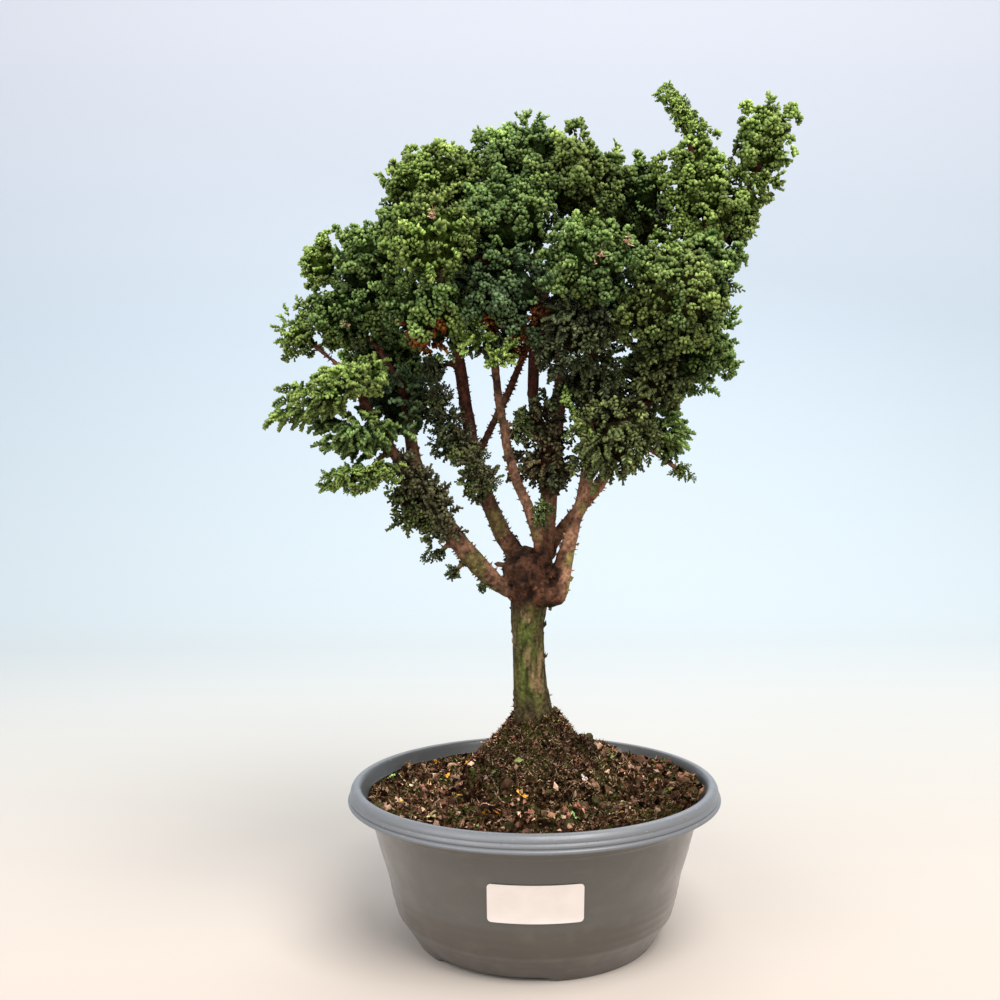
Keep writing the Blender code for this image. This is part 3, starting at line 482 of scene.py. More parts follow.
def mix_socket(tree, factor, first, second, blend="MIX"):
    """Two colours, each a socket or a linear colour, mixed by a socket or a number."""
    inputs = {0: factor}
    for slot, colour in ((6, first), (7, second)):
        inputs[slot] = colour if isinstance(colour, bpy.types.NodeSocket) else (*colour, 1.0)
    return add_node(tree, "Mix", inputs, data_type="RGBA", blend_type=blend).outputs[2]


def add_bump(tree, shader, height, distance):
    """Relief from a height socket, in metres."""
    bump = add_node(tree, "Bump", {"Height": height, "Distance": distance})
    tree.links.new(bump.outputs["Normal"], shader.inputs["Normal"])


def tinted_material(name, roughness, grain, relief, levels=(0.62, 1.25), shine=0.15):
    """Colour from the mesh's tint, varied by a fine grain between two levels."""
    material, tree, shader = new_material(name, roughness, shine)
    tint = add_node(tree, "Attribute", attribute_name="tint")
    grain_level = noise_socket(tree, grain)
    shade = ramp_socket(tree, grain_level, ((0.3, levels[0]), (0.7, levels[1])))
    colour = mix_socket(tree, 1.0, tint.outputs["Color"], shade, "MULTIPLY")
    tree.links.new(colour, shader.inputs["Base Color"])
    add_bump(tree, shader, grain_level, relief)
    return material


def pot_material():
    """Dark slate plastic with dust, darker and browner towards the bottom, and a paler, scuffed rim; the inner
    wall above the soil is dark grey, partly painted shade.
    """
    material, tree, shader = new_material("pot_plastic", 0.42, 0.6)
    wall = noise_ramp(tree, 26, ((0.3, srgb(65, 64, 60)), (0.7, srgb(70, 69, 65))), (1, 1, 2.5))
    stops = ((0.0, (0.5, 0.4, 0.3)), (0.5, (0.74, 0.63, 0.51)), (0.72, (0.88, 0.78, 0.67)), (0.82, 1.0))
    # Darker and browner towards the bottom
    low_darkening = ramp_socket(tree, height_socket(tree, 0.0, DARKENING_TOP), stops)
    colour = mix_socket(tree, 1.0, wall, low_darkening, "MULTIPLY")
    up_rim = height_socket(tree, *RIM_HEIGHTS)
    rim = ramp_socket(tree, up_rim, ((0.2, 0.0), (0.9, 1.0)))
    colour = mix_socket(tree, rim, colour, srgb(101, 104, 108))
    # The inner wall above the soil: a dark grey near the body's own colour, a little darker as painted shade
    within = ramp_socket(tree, radius_socket(tree, *INNER_RADII), ((0.0, 1.0), (1.0, 0.0)))
    above = ramp_socket(tree, height_socket(tree, *SOIL_LINE), ((0.0, 0.0), (1.0, 0.92)))
    colour = mix_socket(tree, product_socket(tree, within, above), colour, srgb(58, 58, 57))
    dust = noise_ramp(tree, 85, ((0.55, 0.0), (0.8, 0.16)), (1, 1, 1.4), 8.0)
    colour = mix_socket(tree, dust, colour, srgb(122, 113, 100))
    scuff = noise_ramp(tree, 300, ((0.69, 0.0), (0.76, 0.4)), (1, 1, 5), 2.0)
    colour = mix_socket(tree, product_socket(tree, scuff, rim), colour, srgb(176, 180, 184))
    grit = noise_ramp(tree, 700, ((0.74, 0.0), (0.78, 0.8)), detail=1.0)
    colour = mix_socket(tree, grit, colour, srgb(58, 46, 36))
    coat = ramp_socket(tree, up_rim, ((0.2, 0.9), (0.9, 0.2)))
    roughness = noise_ramp(tree, 70, ((0.3, 0.36), (0.7, 0.55)))
    for name, socket in (("Base Color", colour), ("Coat Weight", coat), ("Roughness", roughness)):
        tree.links.new(socket, shader.inputs[name])
    shader.inputs["Coat Roughness"].default_value = 0.26
    add_bump(tree, shader, noise_socket(tree, 420, (1, 1, 3)), 0.00006)
    return material


def label_material():
    """Pinkish white paper, slightly smudged."""
    material, tree, shader = new_material("label_paper", 0.5)
    smudge = noise_ramp(tree, 90, ((0.35, srgb(224, 215, 208)), (0.65, srgb(231, 222, 216))))
    tree.links.new(smudge, shader.inputs["Base Color"])
    add_bump(tree, shader, noise_socket(tree, 900), 0.00003)
    return material


def soil_material():
    """Damp potting soil."""
    material, tree, shader = new_material("soil_ground", 0.95, 0.0)
    tones = palette((8, 5, 3), (32, 21, 13), (72, 50, 33), (126, 98, 70))
    earth = noise_ramp(tree, 420, tuple(zip((0.36, 0.5, 0.62, 0.74), tones)), detail=8.0)
    tones = palette((12, 12, 5), (38, 38, 16), (88, 86, 44))
    mossy = noise_ramp(tree, 640, tuple(zip((0.36, 0.5, 0.7), tones)), detail=6.0)
    patches = noise_ramp(tree, 60, ((0.48, 0.0), (0.58, 0.85)), detail=3.0)
    tree.links.new(mix_socket(tree, patches, earth, mossy), shader.inputs["Base Color"])
    add_bump(tree, shader, noise_socket(tree, 520, detail=8.0), 0.0022)
    return material


# Pot, label and soil


def ease(value, low, high):
    """0 below low and 1 above high, smoothly between them."""
    share = min(1.0, max(0.0, (value - low) / (high - low)))
    return share * share * (3 - 2 * share)


def rounded_profile(corners, rounding):
    """The profile with each corner replaced by three points on a short curve."""
    places = [np.array(corner, float) for corner in corners]
    line = [places[0]]
    for before, here, after in zip(places, places[1:], places[2:]):
        start = here + (before - here) * min(0.45, rounding / np.linalg.norm(before - here))
        end = here + (after - here) * min(0.45, rounding / np.linalg.norm(after - here))
        line += [start, (start + 2 * here + end) / 4, end]
    return line + [places[-1]]


def foot_lift(angle):
    """How far the foot ring's edge is raised at an angle: not at the feet, and smoothly between them."""
    away = min(abs((angle - centre + 180.0) % 360.0 - 180.0) for centre in FOOT_CENTRES)
    return NOTCH_HEIGHT * ease(away, FOOT_HALF_ANGLE, FOOT_HALF_ANGLE + NOTCH_SLOPE)


def ring_quads(rings, segments):
    """Quads between rings of points that follow each other."""
    quads = []
    for low in range(0, (rings - 1) * segments, segments):
        for step in range(segments):
            after, high = (step + 1) % segments, low + segments
            quads.append((low + step, high + step, high + after, low + after))
    return quads


def turned(line, segments):
    """Points of the pot's profile turned round its axis, its foot notched, and quads between its rings."""
    points = []
    for radius, height in line:
        for step in range(segments):
            angle = 360.0 * step / segments
            raised = foot_lift(angle) * max(0.0, 1.0 - height / LIFTED_HEIGHT)
            turn = math.radians(angle)
            place = (radius * math.cos(turn), radius * math.sin(turn), height + raised)
            points.append(tuple(MM * value for value in place))
    return points, ring_quads(len(line), segments)


def make_pot():
    """The pot in fine segments, with rounded corners, faint rings low on its wall and its drain holes."""
    line = []
    corners = rounded_profile(POT_PROFILE, POT_ROUNDING)
    for first, second in zip(corners, corners[1:]):
        line.append(first)
        low, high = WALL_HEIGHTS
        outside = first[0] > WALL_RADIUS and second[1] < first[1] and low < second[1] < high
        length = RINGED_STEP if second[1] < RING_HIGH else WALL_STEP
        steps = int(np.linalg.norm(second - first) / length) if outside else 1
        for step in range(1, steps):
            line.append(first + (second - first) * step / steps)
    line.append(corners[-1])
    highest = max(range(len(line)), key=lambda index: line[index][1])
    for place in line[highest:]:
        if place[0] > WALL_RADIUS and RING_LOW < place[1] < RING_HIGH:
            fade = math.sin(math.pi * (place[1] - RING_LOW) / (RING_HIGH - RING_LOW))
            place[0] += RING_DEPTH * fade * math.sin(place[1] * RING_TURN)
    points, quads = turned(line, POT_SEGMENTS)
    mesh = bmesh.new()
    vertices = [mesh.verts.new((x + AXIS_X, y, z)) for x, y, z in points]
    for quad in quads:
        mesh.faces.new([vertices[index] for index in quad])
    for ring, height in ((vertices[:POT_SEGMENTS], POT_FLOOR[0]), (vertices[-POT_SEGMENTS:], POT_FLOOR[1])):
        middle = mesh.verts.new((AXIS_X, 0.0, height * MM))
        for index in range(POT_SEGMENTS):
            pair = (ring[index], ring[(index + 1) % POT_SEGMENTS])
            mesh.faces.new((middle, *(pair if ring[0] is vertices[0] else reversed(pair))))
    bmesh.ops.recalc_face_normals(mesh, faces=mesh.faces)
    data = bpy.data.meshes.new("pot_shell")
    mesh.to_mesh(data)
    mesh.free()
    pot = add_object("pot_shell", data)
    for x, y, radius in DRAINS:
        drill = bpy.data.meshes.new("drill")
        shape = bmesh.new()
        place = Matrix.Translation((x * MM + AXIS_X, y * MM, 5 * MM))
        size = {"radius1": radius * MM, "radius2": radius * MM, "depth": 8 * MM}
        bmesh.ops.create_cone(shape, cap_ends=True, segments=40, matrix=place, **size)
        shape.to_mesh(drill)
        shape.free()
        cutter = add_object("drill", drill)
        cut = pot.modifiers.new("drain", "BOOLEAN")
        cut.object = cutter
        cut.operation = "DIFFERENCE"
        cut.solver = "MANIFOLD"
        apply_modifiers(pot)
        bpy.data.objects.remove(cutter)
    pot.data.materials.clear()
    pot.data.materials.append(pot_material())
    pot.data.shade_smooth()
    pot.data.set_sharp_from_angle(angle=math.radians(50))
    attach(pot, "root")
    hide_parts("pot")
    return line


def make_label(line):
    """A thin blank label with rounded corners, following the wall."""
    wall = sorted((place[1], place[0]) for place in line if 20.0 < place[1] < 68.0 and 70.0 < place[0] < 90.0)
    outside = [pair for pair in wall if pair[1] > np.interp(pair[0], (16.6, 68.8), (72.6, 86.0))]
    heights, radii = zip(*outside)
    corner = LABEL_CORNER
    curve = [corner * (1 - math.cos(math.radians(angle))) for angle in (0, 15, 30, 45, 60, 75, 90)]
    rows = [LABEL_LOW + step for step in curve]
    rows += list(np.linspace(LABEL_LOW + corner, LABEL_HIGH - corner, LABEL_ROWS))[1:-1]
    rows += [LABEL_HIGH - step for step in reversed(curve)]
    points = []
    for offset in (LABEL_BACK, LABEL_FRONT):
        for height in rows:
            depth = max(0.0, corner - min(height - LABEL_LOW, LABEL_HIGH - height))
            inset = corner - math.sqrt(max(corner**2 - depth**2, 0.0))
            radius = np.interp(height, heights, radii) + offset
            for x in np.linspace(LABEL_LEFT + inset, LABEL_RIGHT - inset, LABEL_COLUMNS + 1):
                points.append((x * MM + AXIS_X, -math.sqrt(radius**2 - x**2) * MM, height * MM))
    wide, high = LABEL_COLUMNS + 1, len(rows)
    back = wide * high
    quads = []
    for row in range(high - 1):
        for column in range(LABEL_COLUMNS):
            a = row * wide + column
            quads.append((a, a + wide, a + 1 + wide, a + 1))
            quads.append(tuple(back + index for index in (a, a + 1, a + 1 + wide, a + wide)))
    edge = list(range(wide)) + [row * wide + wide - 1 for row in range(1, high)]
    edge += [(high - 1) * wide + column for column in range(wide - 2, -1, -1)]
    edge += [row * wide for row in range(high - 2, 0, -1)]
    for here, after in zip(edge, edge[1:] + edge[:1]):
        quads.append((here, after, after + back, here + back))
    label = add_mesh("label_plate", points, quads, label_material())
    label.data.set_sharp_from_angle(angle=math.radians(40))
    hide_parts("label")


def mound_rise(x, y):
    """1 at the mound's top and 0 off it, at a place in millimetres from the pot's axis."""
    across = x - MOUND_CENTRE[0]
    across /= MOUND_RIGHT if across > 0 else MOUND_LEFT
    away = math.hypot(across, y - MOUND_CENTRE[1]) / MOUND_RADIUS
    return max(0.0, 1.0 - away**MOUND_POWER)


def hummocks():
    """Place, radius and height of the moss cushions, most of them at the mound's right and behind it."""
    random = np.random.RandomState(SEED)
    found = []
    for _ in range(HUMMOCK_COUNT):
        turn, away = random.uniform(*HUMMOCK_TURNS), random.uniform(*HUMMOCK_REACH)
        size = random.uniform(*HUMMOCK_RADII), random.uniform(*HUMMOCK_HEIGHTS)
        found.append((away * math.cos(turn), away * math.sin(turn), *size))
    return found


def lump_height(x, y):
    """How far lumps and moss cushions raise the soil in millimetres."""
    place = Vector((x, y, 0.0))
    cushion = 0.0
    for cushion_x, cushion_y, radius, height in HUMMOCKS:
        away = ((x - cushion_x) ** 2 + (y - cushion_y) ** 2) / radius**2
        if away < 1.0:
            cushion = max(cushion, height * math.sqrt(1.0 - away))
    return cushion - CUSHION_DROP + sum(height * noise.noise(place / size) for height, size in LUMPS)


def rough_soil_height(x, y):
    """Height of the loose top dressing in millimetres: the packed soil's, with lumps, clods and hollows."""
    level = SOIL_LEVEL + SOIL_SLOPE[0] * x + SOIL_SLOPE[1] * y
    level += SOIL_RIPPLE * math.sin(x / SOIL_RIPPLE_SIZES[0]) * math.sin(y / SOIL_RIPPLE_SIZES[1])
    rise = mound_rise(x, y)
    level += DRESSING * (1.0 - rise) ** 2
    lumps = lump_height(x, y)
    radius = math.hypot(x, y)
    near_wall = min(1.0, max(0.0, (WALL_REACH - radius) / WALL_FADE))
    collar = COLLAR_HEIGHT * math.exp(-((max(radius - COLLAR_FROM, 0.0) / COLLAR_WIDTH) ** 2))
    return level + (MOUND_HEIGHT - MOUND_DROP - level) * rise + lumps * near_wall + collar


def make_soil():
    """The soil's rough surface."""
    points = []
    for radius in np.linspace(*SOIL_RADII, SOIL_RINGS):
        for step in range(SOIL_SEGMENTS):
            turn = 2 * math.pi * step / SOIL_SEGMENTS
            x, y = radius * math.cos(turn), radius * math.sin(turn)
            points.append((x * MM + AXIS_X, y * MM, rough_soil_height(x, y) * MM))
    quads = ring_quads(SOIL_RINGS, SOIL_SEGMENTS)
    ground = add_mesh("soil_ground", points, quads, soil_material())
    closing = bmesh.new()
    closing.from_mesh(ground.data)
    edges = [edge for edge in closing.edges if edge.is_boundary]
    grown = bmesh.ops.extrude_edge_only(closing, edges=edges)["geom"]
    for vertex in (item for item in grown if isinstance(item, bmesh.types.BMVert)):
        vertex.co.z = SKIRT_HEIGHT * MM
        vertex.co.x = AXIS_X + (vertex.co.x - AXIS_X) * SKIRT_SHARE
        vertex.co.y *= SKIRT_SHARE
    bmesh.ops.holes_fill(closing, edges=[edge for edge in closing.edges if edge.is_boundary])
    bmesh.ops.recalc_face_normals(closing, faces=closing.faces)
    # The skirt's faces come in another order at each run, so all are put in the order of their corners.
    closing.verts.index_update()
    ordered = sorted(closing.faces, key=lambda face: sorted(vertex.index for vertex in face.verts))
    for rank, face in enumerate(ordered):
        face.index = rank
    closing.faces.sort()
    closing.to_mesh(ground.data)
    closing.free()
    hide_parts("soil")
    return BVHTree.FromPolygons(points, quads)


# Small repeated bodies


def ringed_body(rings, sides, pointed=(True, True)):
    """A closed body of rings, each a (height, radius) that is turned half a step past the one below.

    Each of its ends is a point, at z = 0 and z = 1, or a face that closes the ring.
    """
    points = [(0.0, 0.0, 0.0)]
    for row, (height, radius) in enumerate(rings):
        for step in range(sides):
            angle = 2 * math.pi * (step + row / 2) / sides
            points.append((radius * math.cos(angle), radius * math.sin(angle), height))
    points.append((0.0, 0.0, 1.0))
    triangles = []
    for step in range(sides):
        low, low_next = 1 + step, 1 + (step + 1) % sides
        triangles.append((0, low_next, low))
        for _ in rings[1:]:
            high, high_next = low + sides, low_next + sides
            triangles += [(low, low_next, high), (low_next, high_next, high)]
            low, low_next = high, high_next
        triangles.append((low, low_next, len(points) - 1))
    points, triangles = np.array(points), np.array(triangles)
    if not pointed[0]:
        cap = [(0, step + 1, step) for step in range(1, sides - 1)]
        points, triangles = points[1:], np.concatenate((triangles[triangles.min(axis=1) > 0] - 1, cap))
    if not pointed[1]:
        first, last = len(points) - 1 - sides, len(points) - 1
        cap = [(first, first + step, first + step + 1) for step in range(1, sides - 1)]
        points, triangles = points[:-1], np.concatenate((triangles[triangles.max(axis=1) < last], cap))
    return points, triangles


NUB = ringed_body(((0.06, 0.28), (0.88, 0.52)), 3, (False, False))
SPIKE = ringed_body(((0.0, 0.5),), 3, (False, True))
CRUMB = ringed_body(((0.5, 0.5),), 3)
STONE = ringed_body(((0.25, 0.42), (0.7, 0.45)), 5)


def frames_along(directions, spins):
    """Rotation matrices whose third column is each direction, turned about it by each spin."""
    third = directions / np.linalg.norm(directions, axis=1, keepdims=True)
    helper = np.where(np.abs(third[:, 2:3]) < 0.9, (0.0, 0.0, 1.0), (1.0, 0.0, 0.0))
    first = np.cross(helper, third)
    first /= np.linalg.norm(first, axis=1, keepdims=True)
    second = np.cross(third, first)
    cosine, sine = np.cos(spins)[:, None], np.sin(spins)[:, None]
    return np.stack((first * cosine + second * sine, second * cosine - first * sine, third), axis=2)


def repeated(triangles, each, count):
    """The triangles of count copies of a body that has each points."""
    return (triangles[None] + each * np.arange(count)[:, None, None]).reshape(-1, 3)


def scattered(body, feet, directions, sizes, spins):
    """Points and triangles of one body for each foot, with its size across, across and along."""
    points, triangles = body
    turns = frames_along(np.asarray(directions, float), np.broadcast_to(spins, len(feet)))
    sized = points[None] * np.asarray(sizes)[:, None]
    placed = np.einsum("nij,nkj->nki", turns, sized) + np.asarray(feet)[:, None]
    return placed.reshape(-1, 3), repeated(triangles, len(points), len(feet))


def way_at(angle, tilt):
    """Unit direction at an angle from a fan's axis, tilted out of the fan's plane, both in degrees."""
    angle, tilt = math.radians(angle), math.radians(tilt)
    return math.sin(angle) * math.cos(tilt), math.sin(tilt), math.cos(angle) * math.cos(tilt)


def fan(random):
    """Foot, direction, size and lightness of each nub of a fan, which points to +Z, its upper side to +Y."""
    nubs = []
    for count, spread, reach, tilt, share, light in FAN_ROWS:
        for angle in np.linspace(-spread, spread, count) + random.uniform(-FAN_TURN, FAN_TURN, count):
            way = way_at(angle, tilt + random.uniform(-FAN_TILT, FAN_TILT))
            width, length = random.uniform(*FAN_WIDTHS), share * random.uniform(*FAN_LENGTHS)
            nubs.append((reach * np.array(way), way, (width, FAN_THICKNESS * width, length), light))
    return nubs


def spray(random, pairs, stem, spreads, droop, tilt, lengths, widths, forked):
    """The same for a spray, which is pairs of nubs along a drooping stem."""
    nubs = [((0.0, 0.0, -1.0), (0.0, -0.5 * droop, 1.0), (1.0, 1.0, stem + 1.0), 0.0)]
    for pair in range(pairs + 1):
        share = pair / pairs
        foot = np.array((0.0, -droop * share**2 * stem, stem * (0.06 + 0.86 * share)))
        for side in (-1.0, 1.0) if pair < pairs else (0.0,):
            stray = random.uniform(-SPRAY_TURN, SPRAY_TURN)
            angle = side * (spreads[0] + (spreads[1] - spreads[0]) * share + stray)
            way = way_at(angle, random.uniform(-tilt, tilt) - 30 * droop)
            width, length = random.uniform(*widths), random.uniform(*lengths) * (1.0 - 0.2 * share)
            thickness = SPRAY_THICKNESS * width
            nubs.append((foot, way, (width, thickness, length), 0.2 * share))
            if forked and side:
                fork = way_at(angle - side * random.uniform(*FORK_ANGLES), random.uniform(-tilt, tilt))
                at = foot + FORK_PLACE * length * np.array(way)
                nubs.append((at, fork, (width, thickness, FORK_LENGTH * length), 0.1 + 0.2 * share))
    return nubs


def cluster(kind, random):
    """One cluster's points in metres, its triangles and how light each point is, from 0 to 1."""
    nubs = fan(random) if kind == "fan" else spray(random, *SPRAYS[kind])
    feet, directions, sizes, lights = zip(*nubs)
    points, triangles = scattered(NUB, np.array(feet), directions, sizes, 0.0)
    light = np.add.outer(np.array(lights), TIP_LIGHT * NUB[0][:, 2]).ravel()
    return points * MM, triangles, light


def joined(parts):
    """Points, triangles and tints of several meshes as one."""
    points, triangles, tints = zip(*parts)
    bases = np.cumsum([0] + [len(each) for each in points[:-1]])
    return (
        np.concatenate(points),
        np.concatenate([each + base for each, base in zip(triangles, bases)]),
        np.concatenate(tints),
    )


def placed_clusters(kind, feet, directions, spins, scales, tones, values, random):
    """Points, triangles and tints of many clusters; tones holds a palette for each."""
    variants = [cluster(kind, random) for _ in range(VARIANTS)]
    chosen = random.randint(VARIANTS, size=len(feet))
    turns = frames_along(directions, spins)
    parts = []
    for index, (points, triangles, light) in enumerate(variants):
        picked = np.flatnonzero(chosen == index)
        placed = np.einsum("nij,kj->nki", turns[picked], points) * scales[picked][:, None, None]
        placed += feet[picked][:, None]
        nubs = len(points) // len(NUB[0])
        nub_moods = np.repeat(random.normal(0.0, 1.0, (len(picked), nubs)), len(NUB[0]), axis=1)
        shade = np.clip(light[None] + NUB_MOOD * nub_moods, 0, 1)[..., None] ** SHADE_POWER
        low, middle, high = (tones[picked][:, step][:, None] for step in range(3))
        inside, outside = low + (middle - low) * 2 * shade, middle + (high - middle) * (2 * shade - 1)
        value = (values[picked][:, None] * (1.0 + NUB_MOOD * nub_moods))[..., None].clip(*VALUE_RANGE)
        tints = np.where(shade < 0.5, inside, outside) * value
        copies = repeated(triangles, len(points), len(picked))
        parts.append((placed.reshape(-1, 3), copies, tints.reshape(-1, 3)))
    return joined(parts)


# Foliage


def cad_mesh(name):
    """Merged points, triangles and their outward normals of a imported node."""
    mesh = bmesh.new()
    mesh.from_mesh(frame["nodes"][name].data)
    bmesh.ops.remove_doubles(mesh, verts=mesh.verts, dist=1e-6)
    bmesh.ops.triangulate(mesh, faces=mesh.faces)
    mesh.verts.index_update()
    points = np.array([vertex.co[:] for vertex in mesh.verts])
    normals = np.array([vertex.normal[:] for vertex in mesh.verts])
    triangles = np.array([[vertex.index for vertex in face.verts] for face in mesh.faces])
    mesh.free()
    return points, triangles, normals


def surface_samples(points, triangles, random, spacing):
    """Random places over a surface, with the face's normal at each."""
    corners = points[triangles]
    crossed = np.cross(corners[:, 1] - corners[:, 0], corners[:, 2] - corners[:, 0])
    areas = np.linalg.norm(crossed, axis=1)
    count = int(areas.sum() / 2 / spacing**2 * SAMPLES_PER_CLUSTER) + LEAST_SAMPLES
    chosen = random.choice(len(triangles), count, p=areas / areas.sum())
    a, b = random.uniform(size=(2, count, 1))
    root = np.sqrt(a)
    picked = corners[chosen]
    places = (1 - root) * picked[:, 0] + root * (1 - b) * picked[:, 1] + root * b * picked[:, 2]
    return places, crossed[chosen] / areas[chosen][:, None]


def kept_apart(places, spacing):
    """Indices of places that are no nearer to each other than the spacing."""
    taken, cells = [], {}
    for index, place in enumerate(places):
        cell = tuple(np.floor(place / spacing).astype(int))
        around = itertools.product(*((step - 1, step, step + 1) for step in cell))
        near = [other for next_cell in around for other in cells.get(next_cell, ())]
        if all(((places[other] - place) ** 2).sum() > spacing**2 for other in near):
            cells.setdefault(cell, []).append(index)
            taken.append(index)
    return np.array(taken, int)


def openness(tree, place, outward, random):
    """Share of directions that leave the crown from just over a place on its surface."""
    start = Vector(place) + outward * OPEN_START * MM
    free = 0
    for _ in range(OPEN_RAYS):
        direction = (outward + OPEN_SPREAD * Vector(random.normal(size=3))).normalized()
        if not tree.ray_cast(start, direction, OPEN_REACH * MM)[0]:
            free += 1
    return free / OPEN_RAYS


def unit(vectors):
    """Vectors of the same directions and length 1."""
    return vectors / np.linalg.norm(vectors, axis=-1, keepdims=True)


def along_line(corners, count):
    """Places at even steps along a line through the corners."""
    steps = np.linspace(0, len(corners) - 1, count)
    columns = [np.interp(steps, range(len(corners)), column) for column in np.transpose(corners)]
    return np.stack(columns, axis=1)


def crown_tree(meshes):
    """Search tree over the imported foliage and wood."""
    points, triangles, _ = joined(meshes)
    return BVHTree.FromPolygons(points.tolist(), triangles.tolist())


def is_dry(places):
    """Whether each place is in one of the dry, orange-brown hollows under the crown."""
    dry = np.zeros(len(places), bool)
    for x, z, radius in DRY_HOLLOWS:
        away = np.hypot(places[:, 0] - x * MM, places[:, 2] - z * MM)
        dry |= (away < radius * MM) & (np.abs(places[:, 1]) < DRY_DEPTH * MM)
    return dry


def tufted(places, kind, scale, random):
    """What each place on a mass has from its tuft.

    These are its way and distance from the tuft's middle, in millimetres, its lift, its lean, two moods, and
    whether its clusters are of the other kind.
    """
    centres = kept_apart(places, TUFT_SPACING * MM * scale)
    from_centre = places[:, None] - places[centres][None]
    tuft = np.linalg.norm(from_centre, axis=2).argmin(axis=1)
    away = from_centre[np.arange(len(places)), tuft] / MM / scale
    distance = np.linalg.norm(away, axis=1)
    fall = TUFT_FALL * np.clip(distance / TUFT_EDGE, 0, 1.2) ** 2
    lift = random.uniform(*TUFT_LIFTS, len(centres))[tuft] - fall
    lean = random.normal(0.0, TUFT_LEAN, (len(centres), 3))[tuft]
    moods = random.normal(size=(len(centres), 2))[tuft]
    changed = (random.uniform(size=len(centres)) < FEATHERED[kind][1])[tuft]
    return away, distance, lift, lean, moods, changed


def fill_clusters(short_name, front, middle, shown, random):
    """A mass's thin growth: rows for node_clusters to add, and how many clusters at their end are in front."""
    front_tone, *tufts = FRONT_TUFTS.get(short_name, (None,))
    fills, rows, count_in_front = FILLS.get(short_name, ()), [], 0
    for step, (across, down, radius) in enumerate((*fills, *tufts)):
        in_front = step >= len(fills)
        count = int(FILL_DENSITY * radius**2)
        count_in_front += count * in_front
        centre = at_depth(across, down, front + 0.5 * radius * MM if in_front else middle)
        ways = unit(random.normal(size=(count, 3)))
        feet = centre + ways * radius * MM * random.uniform(*FILL_DEPTHS, (count, 1))
        values = np.full(count, FILL_LIGHT[front_tone if in_front else None])
        rows.append((feet, unit(ways + (0.0, 0.0, 0.4)), values, random.choice(shown, count)))
    return rows, count_in_front


